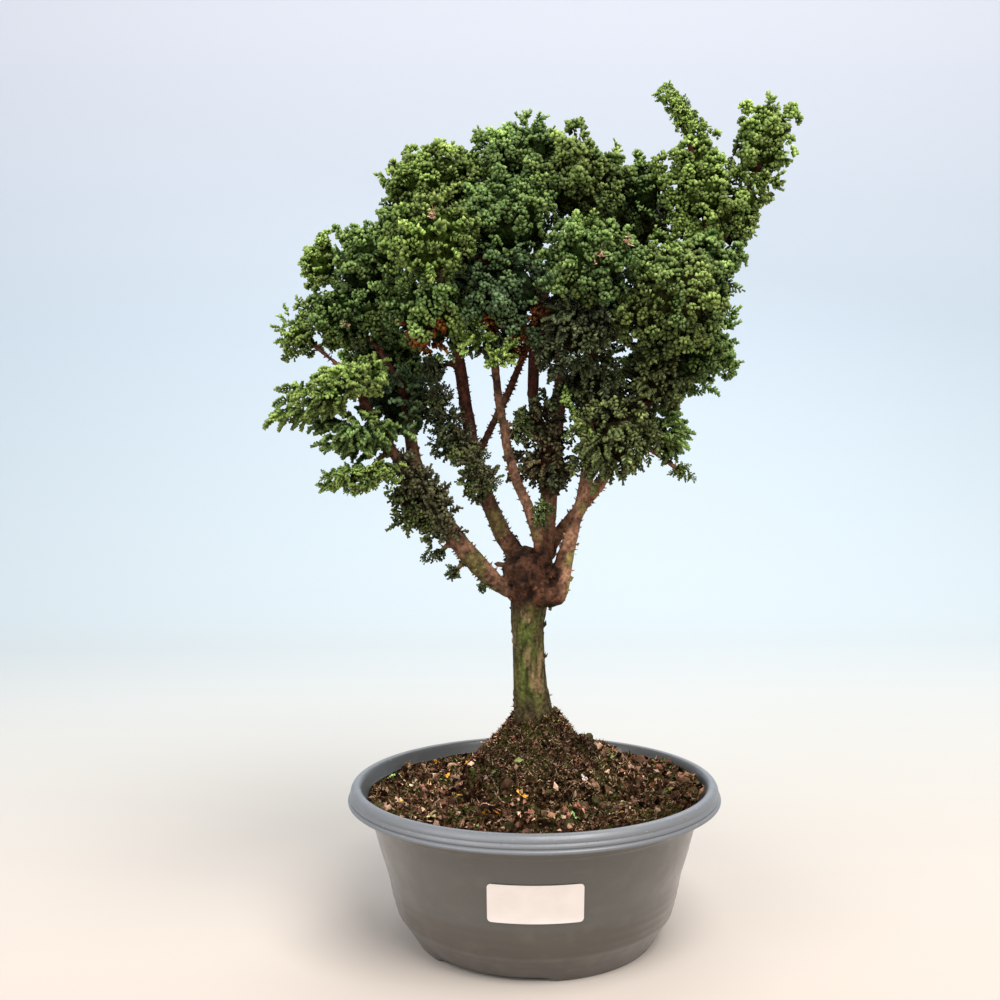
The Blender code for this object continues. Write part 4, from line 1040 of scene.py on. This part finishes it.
def node_clusters(name, own_tone, mesh, tree, random):
    """Points, triangles and tints of one packed mass's clusters and of the core under them, dark with painted
    shade.
    """
    short_name = name.removeprefix("foliage_")
    kind = KIND_OF.get(short_name, "fan")
    node_points, node_triangles, normals = mesh
    middle = (node_points.min(0) + node_points.max(0)) / 2
    reach = (node_points.max(0) - node_points.min(0)).min() / 2
    scale = min(1.0, max(LEAST_SCALE, reach / (FULL_REACH * MM)))
    spacing = SPACING[kind] * MM * scale * (BACK_SPACING if "_back_" in name else 1.0)
    places, faces_out = surface_samples(node_points, node_triangles, random, spacing)
    taken = kept_apart(places, spacing)
    places, faces_out = places[taken], faces_out[taken]
    outward = unit(OUTWARD_SHARE * unit(places - middle) + FACE_SHARE * faces_out)

    away, distance, lift, lean, moods, changed = tufted(places, kind, scale, random)
    if kind == "frond":
        root = middle + unit(np.array(CROWN_MIDDLE) - middle) * FROND_ROOT * reach
        growth = unit(unit(places - root) + FROND_SPREAD * outward)
    else:
        growth = outward
    directions = growth + away / TUFT_SPREAD + lean + WAY_SPREAD * random.normal(size=outward.shape)
    directions[:, 2] += RISE[kind]
    directions = unit(directions)
    free = np.array([openness(tree, place, Vector(way), random) for place, way in zip(places, outward)])
    feet = places + outward * (lift * MM * scale)[:, None] - directions * CLUSTER_DEPTH[kind] * MM * scale
    values = LIGHT_ALL + LIGHT_OPEN * free + LIGHT_UP * outward[:, 2]
    values = values * (1.0 + LIGHT_MOOD * moods[:, 0])
    values = values * (TUFT_LIGHT - TUFT_SHADE * np.clip(distance / TUFT_EDGE, 0, 1))
    turning = TURN_ALL + TURN_MOOD * moods[:, 1] + TURN_SPREAD * random.normal(size=len(places))
    turning = np.clip(turning, 0, TURN_MOST)
    shown = np.flatnonzero(free > HIDDEN_BELOW + HIDDEN_SPREAD * random.uniform(size=len(free)))

    # Rows of feet, directions, values, and the surface clusters that they take their tones from
    found = [(feet[shown], directions[shown], values[shown], shown)]
    sunk = shown[np.argsort(lift[shown] + random.normal(0.0, 1.0, len(shown)))]
    inner = sunk[:int(len(shown) * INNER_SHARE[kind])]
    depth = np.minimum(random.uniform(*INNER_DEPTH[kind], len(inner)) * MM, 0.7 * reach)
    inner_feet = feet[inner] - outward[inner] * depth[:, None] * 0.6
    ways = unit(outward[inner] + 0.5 * random.normal(size=(len(inner), 3)))
    found.append((inner_feet, ways, values[inner] * INNER_LIGHT, inner))
    if kind == "fan" and reach > SHOOT_REACH * MM:
        apart = kept_apart(places[shown], SHOOT_SPACING * MM)
        for index in shown[[each for each in apart if free[shown][each] > SHOOT_OPENNESS]]:
            way = unit(directions[index] + 0.25 * random.normal(size=3))
            for step in SHOOT_STEPS:
                foot = feet[index] + way * (CLUSTER_DEPTH[kind] - 1.5 + step) * MM
                bent = unit(way + 0.3 * random.normal(size=3))
                found.append((foot[None], bent[None], values[index:index + 1] * SHOOT_LIGHT, [index]))
    fills, count_in_front = fill_clusters(short_name, node_points[:, 1].min(), middle[1], shown, random)
    found += fills
    feet, directions, values, chosen = (np.concatenate(each) for each in zip(*found))
    main, other = (np.array(TONES[tone]) for tone in (own_tone, OTHER_TONE[own_tone]))
    # Sprigs hang under the crown: half their tone is the hanging tone, which is partly painted shade
    if kind == "sprig":
        main, other = (0.5 * tone + 0.5 * np.array(TONES["hanging"]) for tone in (main, other))
    tones = main + (other - main) * turning[chosen][:, None, None]
    tones[is_dry(feet)] = DRY
    if count_in_front:
        tones[-count_in_front:] = TONES[FRONT_TUFTS[short_name][0]]
    scales = scale * random.uniform(*CLUSTER_SCALES, len(feet))
    spins = random.normal(0.0, SPIN_SPREAD[kind], len(feet))
    parts = []
    for some_kind, picked in ((kind, ~changed[chosen]), (FEATHERED[kind][0], changed[chosen])):
        each = (array[picked] for array in (feet, directions, spins, scales, tones, values))
        parts.append(placed_clusters(some_kind, *each, random))
    # A shrunken core of the mass's form, coloured dark as painted shade between the clusters
    core = middle + (node_points - normals * CORE_INSET * MM - middle) * CORE_SHRINK[kind]
    parts.append((core, node_triangles, np.tile(main[0] * CORE_SHADE_TINT, (len(core), 1))))
    return joined(parts)


def make_foliage(meshes, tree):
    """Each packed mass replaced by clusters of nubs over a core of its own form, dark with painted shade."""
    slots = {row["node"]: row["material_slot"] for row in frame["record"]["subparts"]}
    material = tinted_material("foliage", 0.6, 700, 0.0002)
    core_material = tinted_material("foliage_core", 1.0, 380, 0.002, (0.2, 3.2), 0.0)
    for index, (name, mesh) in enumerate(meshes.items()):
        random = np.random.RandomState(SEED + index)
        tone = slots[name].removeprefix("foliage_")
        points, triangles, tint = node_clusters(name, tone, mesh, tree, random)
        piece = add_mesh(name.replace("foliage_", "sprays_"), points, triangles, material, tint)
        piece.data.materials.append(core_material)
        in_core = np.arange(len(triangles)) >= len(triangles) - len(mesh[1])
        piece.data.polygons.foreach_set("material_index", in_core.astype(np.int32))
        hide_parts(name)


# Litter on the soil


def strewn(count, random, middle=(0.0, 0.0), low=TRUNK_EDGE, high=SOIL_EDGE):
    """Random places on the soil around a middle, between two radii, in millimetres from the pot's axis."""
    radius, turn = np.sqrt(random.uniform(low**2, high**2, count)), random.uniform(0, 2 * math.pi, count)
    across, along = middle[0] + radius * np.cos(turn), middle[1] + radius * np.sin(turn)
    inside = np.hypot(across, along) < SOIL_EDGE
    across, along = across[inside], along[inside]
    return np.stack((across, along, [rough_soil_height(x, y) for x, y in zip(across, along)]), axis=1)


def drawn(tones, count, random):
    """A random one of the tones for each of count things."""
    return np.array(tones)[random.randint(len(tones), size=count)]


def bodies(body, places, directions, sizes, colours, random, rough, turn, shades):
    """Points in metres, triangles and tints of one body at each place in millimetres.

    The colours are a tuple to draw from, or an array with one for each place.
    """
    points, triangles = scattered(body, places, directions, sizes, random.uniform(0, turn, len(places)))
    each = len(body[0])
    points += rough * random.normal(size=points.shape) * np.repeat(sizes.min(axis=1), each)[:, None]
    if isinstance(colours, tuple):
        colours = drawn(colours, len(places), random)
    tints = colours * random.uniform(*shades, (len(places), 1))
    return points * MM, triangles, np.repeat(tints, each, axis=0)


def lump_sizes(count, random, low, high, flat=1.0):
    """Sizes of lumps, more of them small than large."""
    size = low + (high - low) * random.uniform(size=count) ** LUMP_POWER
    return size[:, None] * random.uniform(*LUMP_SPREAD, (count, 3)) * (1.0, 1.0, flat)


def slender(count, random, lengths, widths):
    """Sizes of long thin bodies."""
    length = random.uniform(*lengths, (count, 1))
    width = random.uniform(*widths, (count, 1))
    return np.hstack((width, width, length))


def ramped(values, start, end):
    """0 at the start and 1 at the end, straight between them."""
    return np.clip((values - start) / (end - start), 0.0, 1.0)


def make_litter(ground):
    """Crumbs, stones, moss, fibres, roots and dead leaves on the soil, with painted light and shade over them.
    """
    random = np.random.RandomState(SEED)
    axis = np.array((AXIS_X, 0.0, 0.0))
    parts = []

    def add(body, places, directions, sizes, colours, rough=0.0):
        look = (colours, random, rough, LITTER_TURN, LITTER_SHADES)
        points, triangles, tints = bodies(body, places, directions, sizes, *look)
        # Painted shade in hollows and painted light on rises, then the zones' painted light
        raised = np.array([lump_height(x, y) for x, y, _ in places])
        light = np.clip(1.0 + HOLLOW_SHADE * raised, *HOLLOW_SHADE_RANGE)
        radius = np.hypot(*places.T[:2])
        zones = zip((places[:, 0], radius, radius), LITTER_ZONES)
        light *= sum((gain * ramped(where, start, end) for where, (gain, start, end) in zones), LITTER_LIGHT)
        tints = tints * np.repeat(light[:, None] * LITTER_TINT, len(body[0]), axis=0)
        parts.append((points + axis, triangles, tints))

    clods = strewn(CLOD_COUNT, random, low=CLOD_FROM)
    sizes = lump_sizes(len(clods), random, *CLOD_SIZES, 0.8)
    add(STONE, clods - (0, 0, 2.4), random.normal(size=clods.shape), sizes, CLOD_TONES, CLOD_ROUGHNESS)
    crumbs = strewn(CRUMB_COUNT, random)
    small_inside = np.clip(np.hypot(*crumbs.T[:2]) / 40.0, 0.5, 1.0)[:, None]
    sizes = lump_sizes(len(crumbs), random, *CRUMB_SIZES) * small_inside
    add(CRUMB, crumbs - (0, 0, 0.5), random.normal(size=crumbs.shape), sizes, SOIL_TONES, CRUMB_ROUGHNESS)
    stones = np.concatenate([strewn(count, random, *area) for count, *area in STONE_AREAS])
    sizes = lump_sizes(len(stones), random, *STONE_SIZES)
    add(STONE, stones - (0, 0, 1.6), random.normal(size=stones.shape), sizes, STONE_TONES, STONE_ROUGHNESS)

    for count, middle, low, high, lengths, tones in FUZZ:
        places = strewn(count, random, middle, low, high)
        outward = unit(places[:, :2] - np.array(MOUND_CENTRE))
        directions = np.concatenate((0.55 * outward, np.full((len(places), 1), 0.5)), axis=1)
        directions += 0.75 * random.normal(size=directions.shape)
        sizes = slender(len(places), random, lengths, FUZZ_WIDTHS)
        add(SPIKE, places - 0.4 * unit(directions), directions, sizes, tones)

    flakes = strewn(FLAKE_COUNT, random, low=FLAKE_FROM)
    directions = random.normal(size=flakes.shape) * (1.0, 1.0, 0.35)
    sizes = lump_sizes(len(flakes), random, *FLAKE_SIZES) * (1.0, 0.3, 1.3)
    add(CRUMB, flakes + (0, 0, 0.5), directions, sizes, FLAKE_TONES, 0.06)
    for across, down, size, levels in SEEN_FLAKES:
        place = seen(ground, across, down) / MM - axis / MM + (0.0, 0.0, 0.8)
        directions = random.normal(size=(4, 3)) * (1.0, 1.0, 0.5)
        sizes = size * random.uniform(0.7, 1.3, (4, 1)) * (0.6, 0.22, 1.0)
        add(CRUMB, np.tile(place, (4, 1)), directions, sizes, (SEEN_FLAKE_LIGHT * srgb(*levels),), 0.05)

    for line in ROOTS:
        corners = [seen(ground, *corner) / MM - axis / MM + (0.0, 0.0, 0.7) for corner in line]
        path = along_line(corners, 5 * len(corners))
        path += 0.35 * random.normal(size=path.shape)
        along = np.diff(path, axis=0)
        lengths = np.linalg.norm(along, axis=1)[:, None]
        sizes = np.hstack((np.full_like(lengths, 0.75), np.full_like(lengths, 0.75), 1.35 * lengths))
        add(CRUMB, path[:-1], along, sizes, ROOT_TONES)

    points, triangles, tints = joined(parts)
    material = tinted_material("litter", 0.9, 620, 0.0005, (0.5, 1.5), 0.0)
    add_mesh("soil_litter", points, triangles, material, tints, False)


# Wood


def vertex_arrays(mesh):
    """A mesh's vertex places and normals."""
    places = np.empty(len(mesh.vertices) * 3, np.float32)
    normals = np.empty(len(mesh.vertices) * 3, np.float32)
    mesh.vertices.foreach_get("co", places)
    mesh.vertices.foreach_get("normal", normals)
    return places.reshape(-1, 3).astype(float), normals.reshape(-1, 3).astype(float)


def noise_at(place, across, along, shift):
    """Noise from about -1 to 1, its lumps across and along the trunk in counts a metre."""
    return noise.noise(Vector((place.x * across + shift, place.y * across, place.z * along - shift)))


def bark_at(place):
    """Relief in millimetres and linear colour of the bark at a place in metres."""
    x, y, z = place / MM
    fine, coarse, streak, crack, cracked, patch, speckle, pit, fibre, wrinkle, lichen = (
        noise_at(place, *sizes) for sizes in BARK_NOISE
    )
    trunk = 1.0 - ease(z, *TRUNK_TOP)
    knot = (1.0 - trunk) * (1.0 - ease(z, *KNOT_TOP)) * (1.0 - ease(abs(x - KNOT_MIDDLE), *KNOT_SIDE))
    limb = 1.0 - trunk - knot

    crack = max(0.0, 1.0 - abs(crack) / 0.05) * ease(cracked, -0.1, 0.2)
    patch = ease(patch + 0.2 * fine, 0.3, 0.38)
    toward_front = 1.0 - ease(abs(x - KNOT_MIDDLE + MOSS_SHIFT), *MOSS_STRIP)
    moss = 0.5 * coarse + 0.45 * fine + 0.5 * speckle + 0.4 * toward_front - 0.012 * y
    moss = 0.72 * ease(moss, 0.0, 0.5) * ease(z, *MOSS_FOOT)
    trunk_tone = blended(TRUNK_TONES, 0.5 + 0.35 * streak + 0.5 * fine + 0.4 * speckle)
    trunk_tone = blended((trunk_tone, blended(MOSS_TONES, 0.5 + 0.6 * fine + 0.5 * speckle)), moss)
    trunk_tone = blended((trunk_tone, PATCH_TONE), 0.9 * patch) * (1.0 - 0.8 * crack)
    trunk_relief = 0.3 + 0.3 * streak + 0.25 * fine + 0.2 * moss - 0.35 * patch - 0.7 * crack

    pit = ease(pit, 0.0, 0.45)
    knot_tone = blended(KNOT_TONES, 0.42 + 0.9 * fine + 0.5 * fibre) * (1.0 - 0.75 * pit)
    knot_relief = 0.5 + 0.7 * fine + 0.5 * fibre + 0.9 * coarse - 1.1 * pit

    lichen = ease(lichen + ease(-x, *LICHEN_SIDE) * 0.25, 0.12, 0.4) * (1.0 - ease(z, *LICHEN_TOP))
    from_front_limb = abs(x - FRONT_LIMB_X - (FRONT_LIMB_Z - z) * FRONT_LIMB_SLOPE)
    front_limb = 1.0 - ease(from_front_limb, *FRONT_LIMB_WIDTH)
    # Painted shade: the inner limbs high under the crown darken, all but the limb in front
    dark = ease(z, *LIMB_SHADE_HEIGHTS) * (1.0 - front_limb)
    limb_tone = blended(LIMB_TONES, 0.5 + 0.6 * wrinkle + 0.5 * coarse)
    limb_tone = blended((limb_tone, blended(LICHEN_TONES, 0.5 + fine)), 0.8 * lichen)
    limb_tone = limb_tone * (0.8 + 0.62 * ease(x, *LIMB_LIGHT))
    limb_tone = blended((limb_tone, blended(SHADED_LIMB_TONES, 0.5 + wrinkle)), dark)
    limb_relief = 0.3 + 0.3 * wrinkle + 0.25 * coarse + 0.2 * fine

    tone = trunk * trunk_tone + knot * knot_tone + limb * limb_tone
    return trunk * trunk_relief + knot * knot_relief + limb * limb_relief, tone


def blended(tones, share):
    """Colour between two."""
    share = min(1.0, max(0.0, share))
    return tones[0] * (1.0 - share) + tones[1] * share


def make_wood():
    """The wood remeshed finely, with cracked and peeling bark and a rough knot."""
    points, triangles, _ = cad_mesh("wood")
    material = tinted_material("bark", 0.85, 520, 0.0009, (0.45, 1.5))
    bark = add_mesh("bark", points, triangles, material)
    remesh = bark.modifiers.new("remesh", "REMESH")
    remesh.mode = "VOXEL"
    remesh.voxel_size = VOXEL * MM
    smooth = bark.modifiers.new("smooth", "SMOOTH")
    smooth.factor = 0.5
    smooth.iterations = SMOOTH_STEPS
    fewer = bark.modifiers.new("fewer", "DECIMATE")
    fewer.ratio = KEPT_SHARE
    apply_modifiers(bark)
    places, normals = vertex_arrays(bark.data)
    looks = [bark_at(Vector(place)) for place in places]
    reliefs, tones = (np.array(each) for each in zip(*looks))
    places += normals * reliefs[:, None] * MM
    bark.data.vertices.foreach_set("co", places.astype(np.float32).ravel())
    set_tint(bark.data, tones)
    bark.data.update()
    bark.data.shade_smooth()
    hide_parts("wood")
    return places / MM, normals, tones, material


def make_stubs(places, normals, tones, material, crown):
    """Thorn-like stubs on the limbs, chips on the knot, moss at the trunk's foot, dry twigs in the crown."""
    random = np.random.RandomState(SEED)
    parts = []

    def add(body, feet, directions, sizes, colours, rough=0.0):
        parts.append(bodies(body, feet, directions, sizes, colours, random, rough, STUB_TURN, STUB_SHADES))

    def pick(where, count):
        """Places, ways outward and colours of random points of the bark."""
        picked = random.choice(np.flatnonzero(where), count)
        return places[picked], normals[picked], tones[picked]

    height, aside = places[:, 2], np.abs(places[:, 0] - KNOT_MIDDLE)
    within = {name: (height > low) & (height < high) for name, (low, high) in BARK_HEIGHTS.items()}
    on_limbs = within["limbs"] & ((height > BARE_KNOT_TOP) | (aside > BARE_KNOT_SIDE))
    feet, ways, colours = pick(on_limbs, STUB_COUNT)
    directions = ways + (0, 0, 0.35) + 0.25 * random.normal(size=ways.shape)
    add(SPIKE, feet, directions, slender(STUB_COUNT, random, (0.9, 2.3), (0.8, 1.5)), 1.1 * colours)
    feet, ways, colours = pick(on_limbs, KNOB_COUNT)
    sizes = lump_sizes(KNOB_COUNT, random, 0.8, 2.2)
    add(CRUMB, feet - 0.3 * ways, ways + (0, 0, 0.5), sizes, colours, 0.08)

    feet, ways, colours = pick(within["knot"] & (aside < KNOT_SIDE[1]), CHIP_COUNT)
    sizes = lump_sizes(CHIP_COUNT, random, 1.0, 3.4)
    add(CRUMB, feet - 0.5 * ways, random.normal(size=ways.shape), sizes, colours, 0.1)

    feet, ways, colours = pick(within["trunk"], SCALE_COUNT)
    sizes = lump_sizes(SCALE_COUNT, random, 1.2, 3.0) * (0.9, 0.35, 1.9)
    directions = np.array((0.0, 0.0, 1.0)) + 0.2 * random.normal(size=ways.shape)
    add(CRUMB, feet - 0.15 * ways - (0, 0, 1.5), directions, sizes, colours * 0.75, 0.05)

    low, high = FOOT_HEIGHTS
    at_foot = (height > low) & (height < high + 4 * random.normal(size=len(height)))
    feet, ways, _ = pick(at_foot, FOOT_MOSS_COUNT)
    directions = ways + (0, 0, 0.4) + 0.5 * random.normal(size=ways.shape)
    sizes = slender(FOOT_MOSS_COUNT, random, (1.0, 2.6), (0.5, 0.9))
    add(SPIKE, feet, directions, sizes, drawn(FOOT_MOSS_TONES, FOOT_MOSS_COUNT, random))

    for place, way, size in BROKEN_STUBS:
        nearest = ((places - place) ** 2).sum(axis=1).argmin()
        foot = places[nearest] - 1.5 * unit(np.array(way))
        add(STONE, foot[None], np.array(way)[None], np.array((size,)), tones[nearest][None], 0.04)

    for across, down, count, length in DRY_TWIGS:
        foot = seen(crown, across, down) / MM - (0.0, 1.2, 0.0)
        feet = foot + random.normal(0.0, 1.3, (count, 3))
        directions = random.normal(size=(count, 3)) + (0.0, -0.9, 0.3)
        sizes = slender(count, random, (0.5, 1.1), (0.5, 0.9)) * (1.0, 1.0, length)
        shades = drawn(TWIG_TONES, count, random)
        add(SPIKE, feet, directions, sizes, shades)
        add(CRUMB, feet, directions, sizes * (1.0, 1.0, 0.6), shades, 0.08)

    points, triangles, tints = joined(parts)
    add_mesh("bark_stubs", points, triangles, material, tints, False)


def make_fresh_sprig(crown):
    """A bright curved sprig on the front of the right-hand masses."""
    random = np.random.RandomState(SEED)
    corners = np.array([seen(crown, *corner) for corner in FRESH_SPRIG])
    front = np.median(corners[:, 1])
    corners[:, 1] = np.clip(corners[:, 1], front - 6 * MM, front + 6 * MM) - 1.5 * MM
    feet = along_line(corners, FRESH_COUNT)
    directions = unit(np.gradient(feet, axis=0)) + (0.0, -0.8, 0.0) + 0.45 * random.normal(size=feet.shape)
    directions = unit(directions)
    tones = np.tile(np.array(TONES["bright"]), (len(feet), 1, 1))
    spins = random.normal(0.0, 0.6, len(feet))
    scales, values = np.full(len(feet), FRESH_SCALE), np.full(len(feet), FRESH_LIGHT)
    points, triangles, tints = placed_clusters("fan", feet, directions, spins, scales, tones, values, random)
    add_mesh("fresh_sprig", points, triangles, bpy.data.materials["foliage"], tints)


# Camera, floor and light


def make_stage():
    """A pale floor that curves up into a backdrop, soft light, and the camera."""
    data = bpy.data.meshes.new("floor")
    bends = [math.radians(angle) for angle in range(10, 91, 10)]
    profile = [(-3.0, 0.0), (1.0, 0.0)]
    profile += [(1.0 + 0.8 * math.sin(bend), 0.8 - 0.8 * math.cos(bend)) for bend in bends]
    profile.append((1.8, 4.0))
    points = [(x, y, z) for y, z in profile for x in (-4.0, 4.0)]
    quads = [(2 * i, 2 * i + 1, 2 * i + 3, 2 * i + 2) for i in range(len(profile) - 1)]
    data.from_pydata(points, [], quads)
    data.shade_smooth()
    floor = add_object("floor", data)
    material, tree, shader = new_material("floor", 0.9, 0.2)
    backward = height_socket(tree, -0.1, 3.1, (0.0, 1.0, 1.0))
    tree.links.new(ramp_socket(tree, backward, FLOOR_TONES), shader.inputs["Base Color"])
    data.materials.append(material)

    world = bpy.data.worlds.new("studio")
    world.use_nodes = True
    background = world.node_tree.nodes["Background"].inputs
    background["Color"].default_value = SKY_COLOUR
    background["Strength"].default_value = SKY_STRENGTH
    bpy.context.scene.world = world
    target = Vector((0.0, 0.0, 0.25))
    for name, place, size, power, colour in LIGHTS:
        light = bpy.data.lights.new(name, "AREA")
        light.size = size
        light.energy = power
        light.color = colour
        lamp = add_object(name, light)
        lamp.location = place
        lamp.rotation_euler = (target - Vector(place)).to_track_quat("-Z", "Y").to_euler()

    lens = bpy.data.cameras.new("camera")
    lens.lens = CAMERA_LENS
    lens.clip_start, lens.clip_end = 0.01, 20.0
    camera = add_object("camera", lens)
    camera.matrix_world = Matrix.Translation(CAMERA_PLACE) @ CAMERA_TURN
    bpy.context.scene.camera = camera
    bpy.context.scene.view_settings.view_transform = "Standard"


make_stage()
pot_line = make_pot()
make_label(pot_line)
HUMMOCKS = hummocks()
soil_tree = make_soil()
make_litter(soil_tree)
foliage_meshes = {name: cad_mesh(name) for name in sorted(frame["nodes"]) if name.startswith("foliage_")}
crown = crown_tree([*foliage_meshes.values(), cad_mesh("wood")])
make_foliage(foliage_meshes, crown)
make_fresh_sprig(crown)
make_stubs(*make_wood(), crown)

bpy.context.view_layer.update()
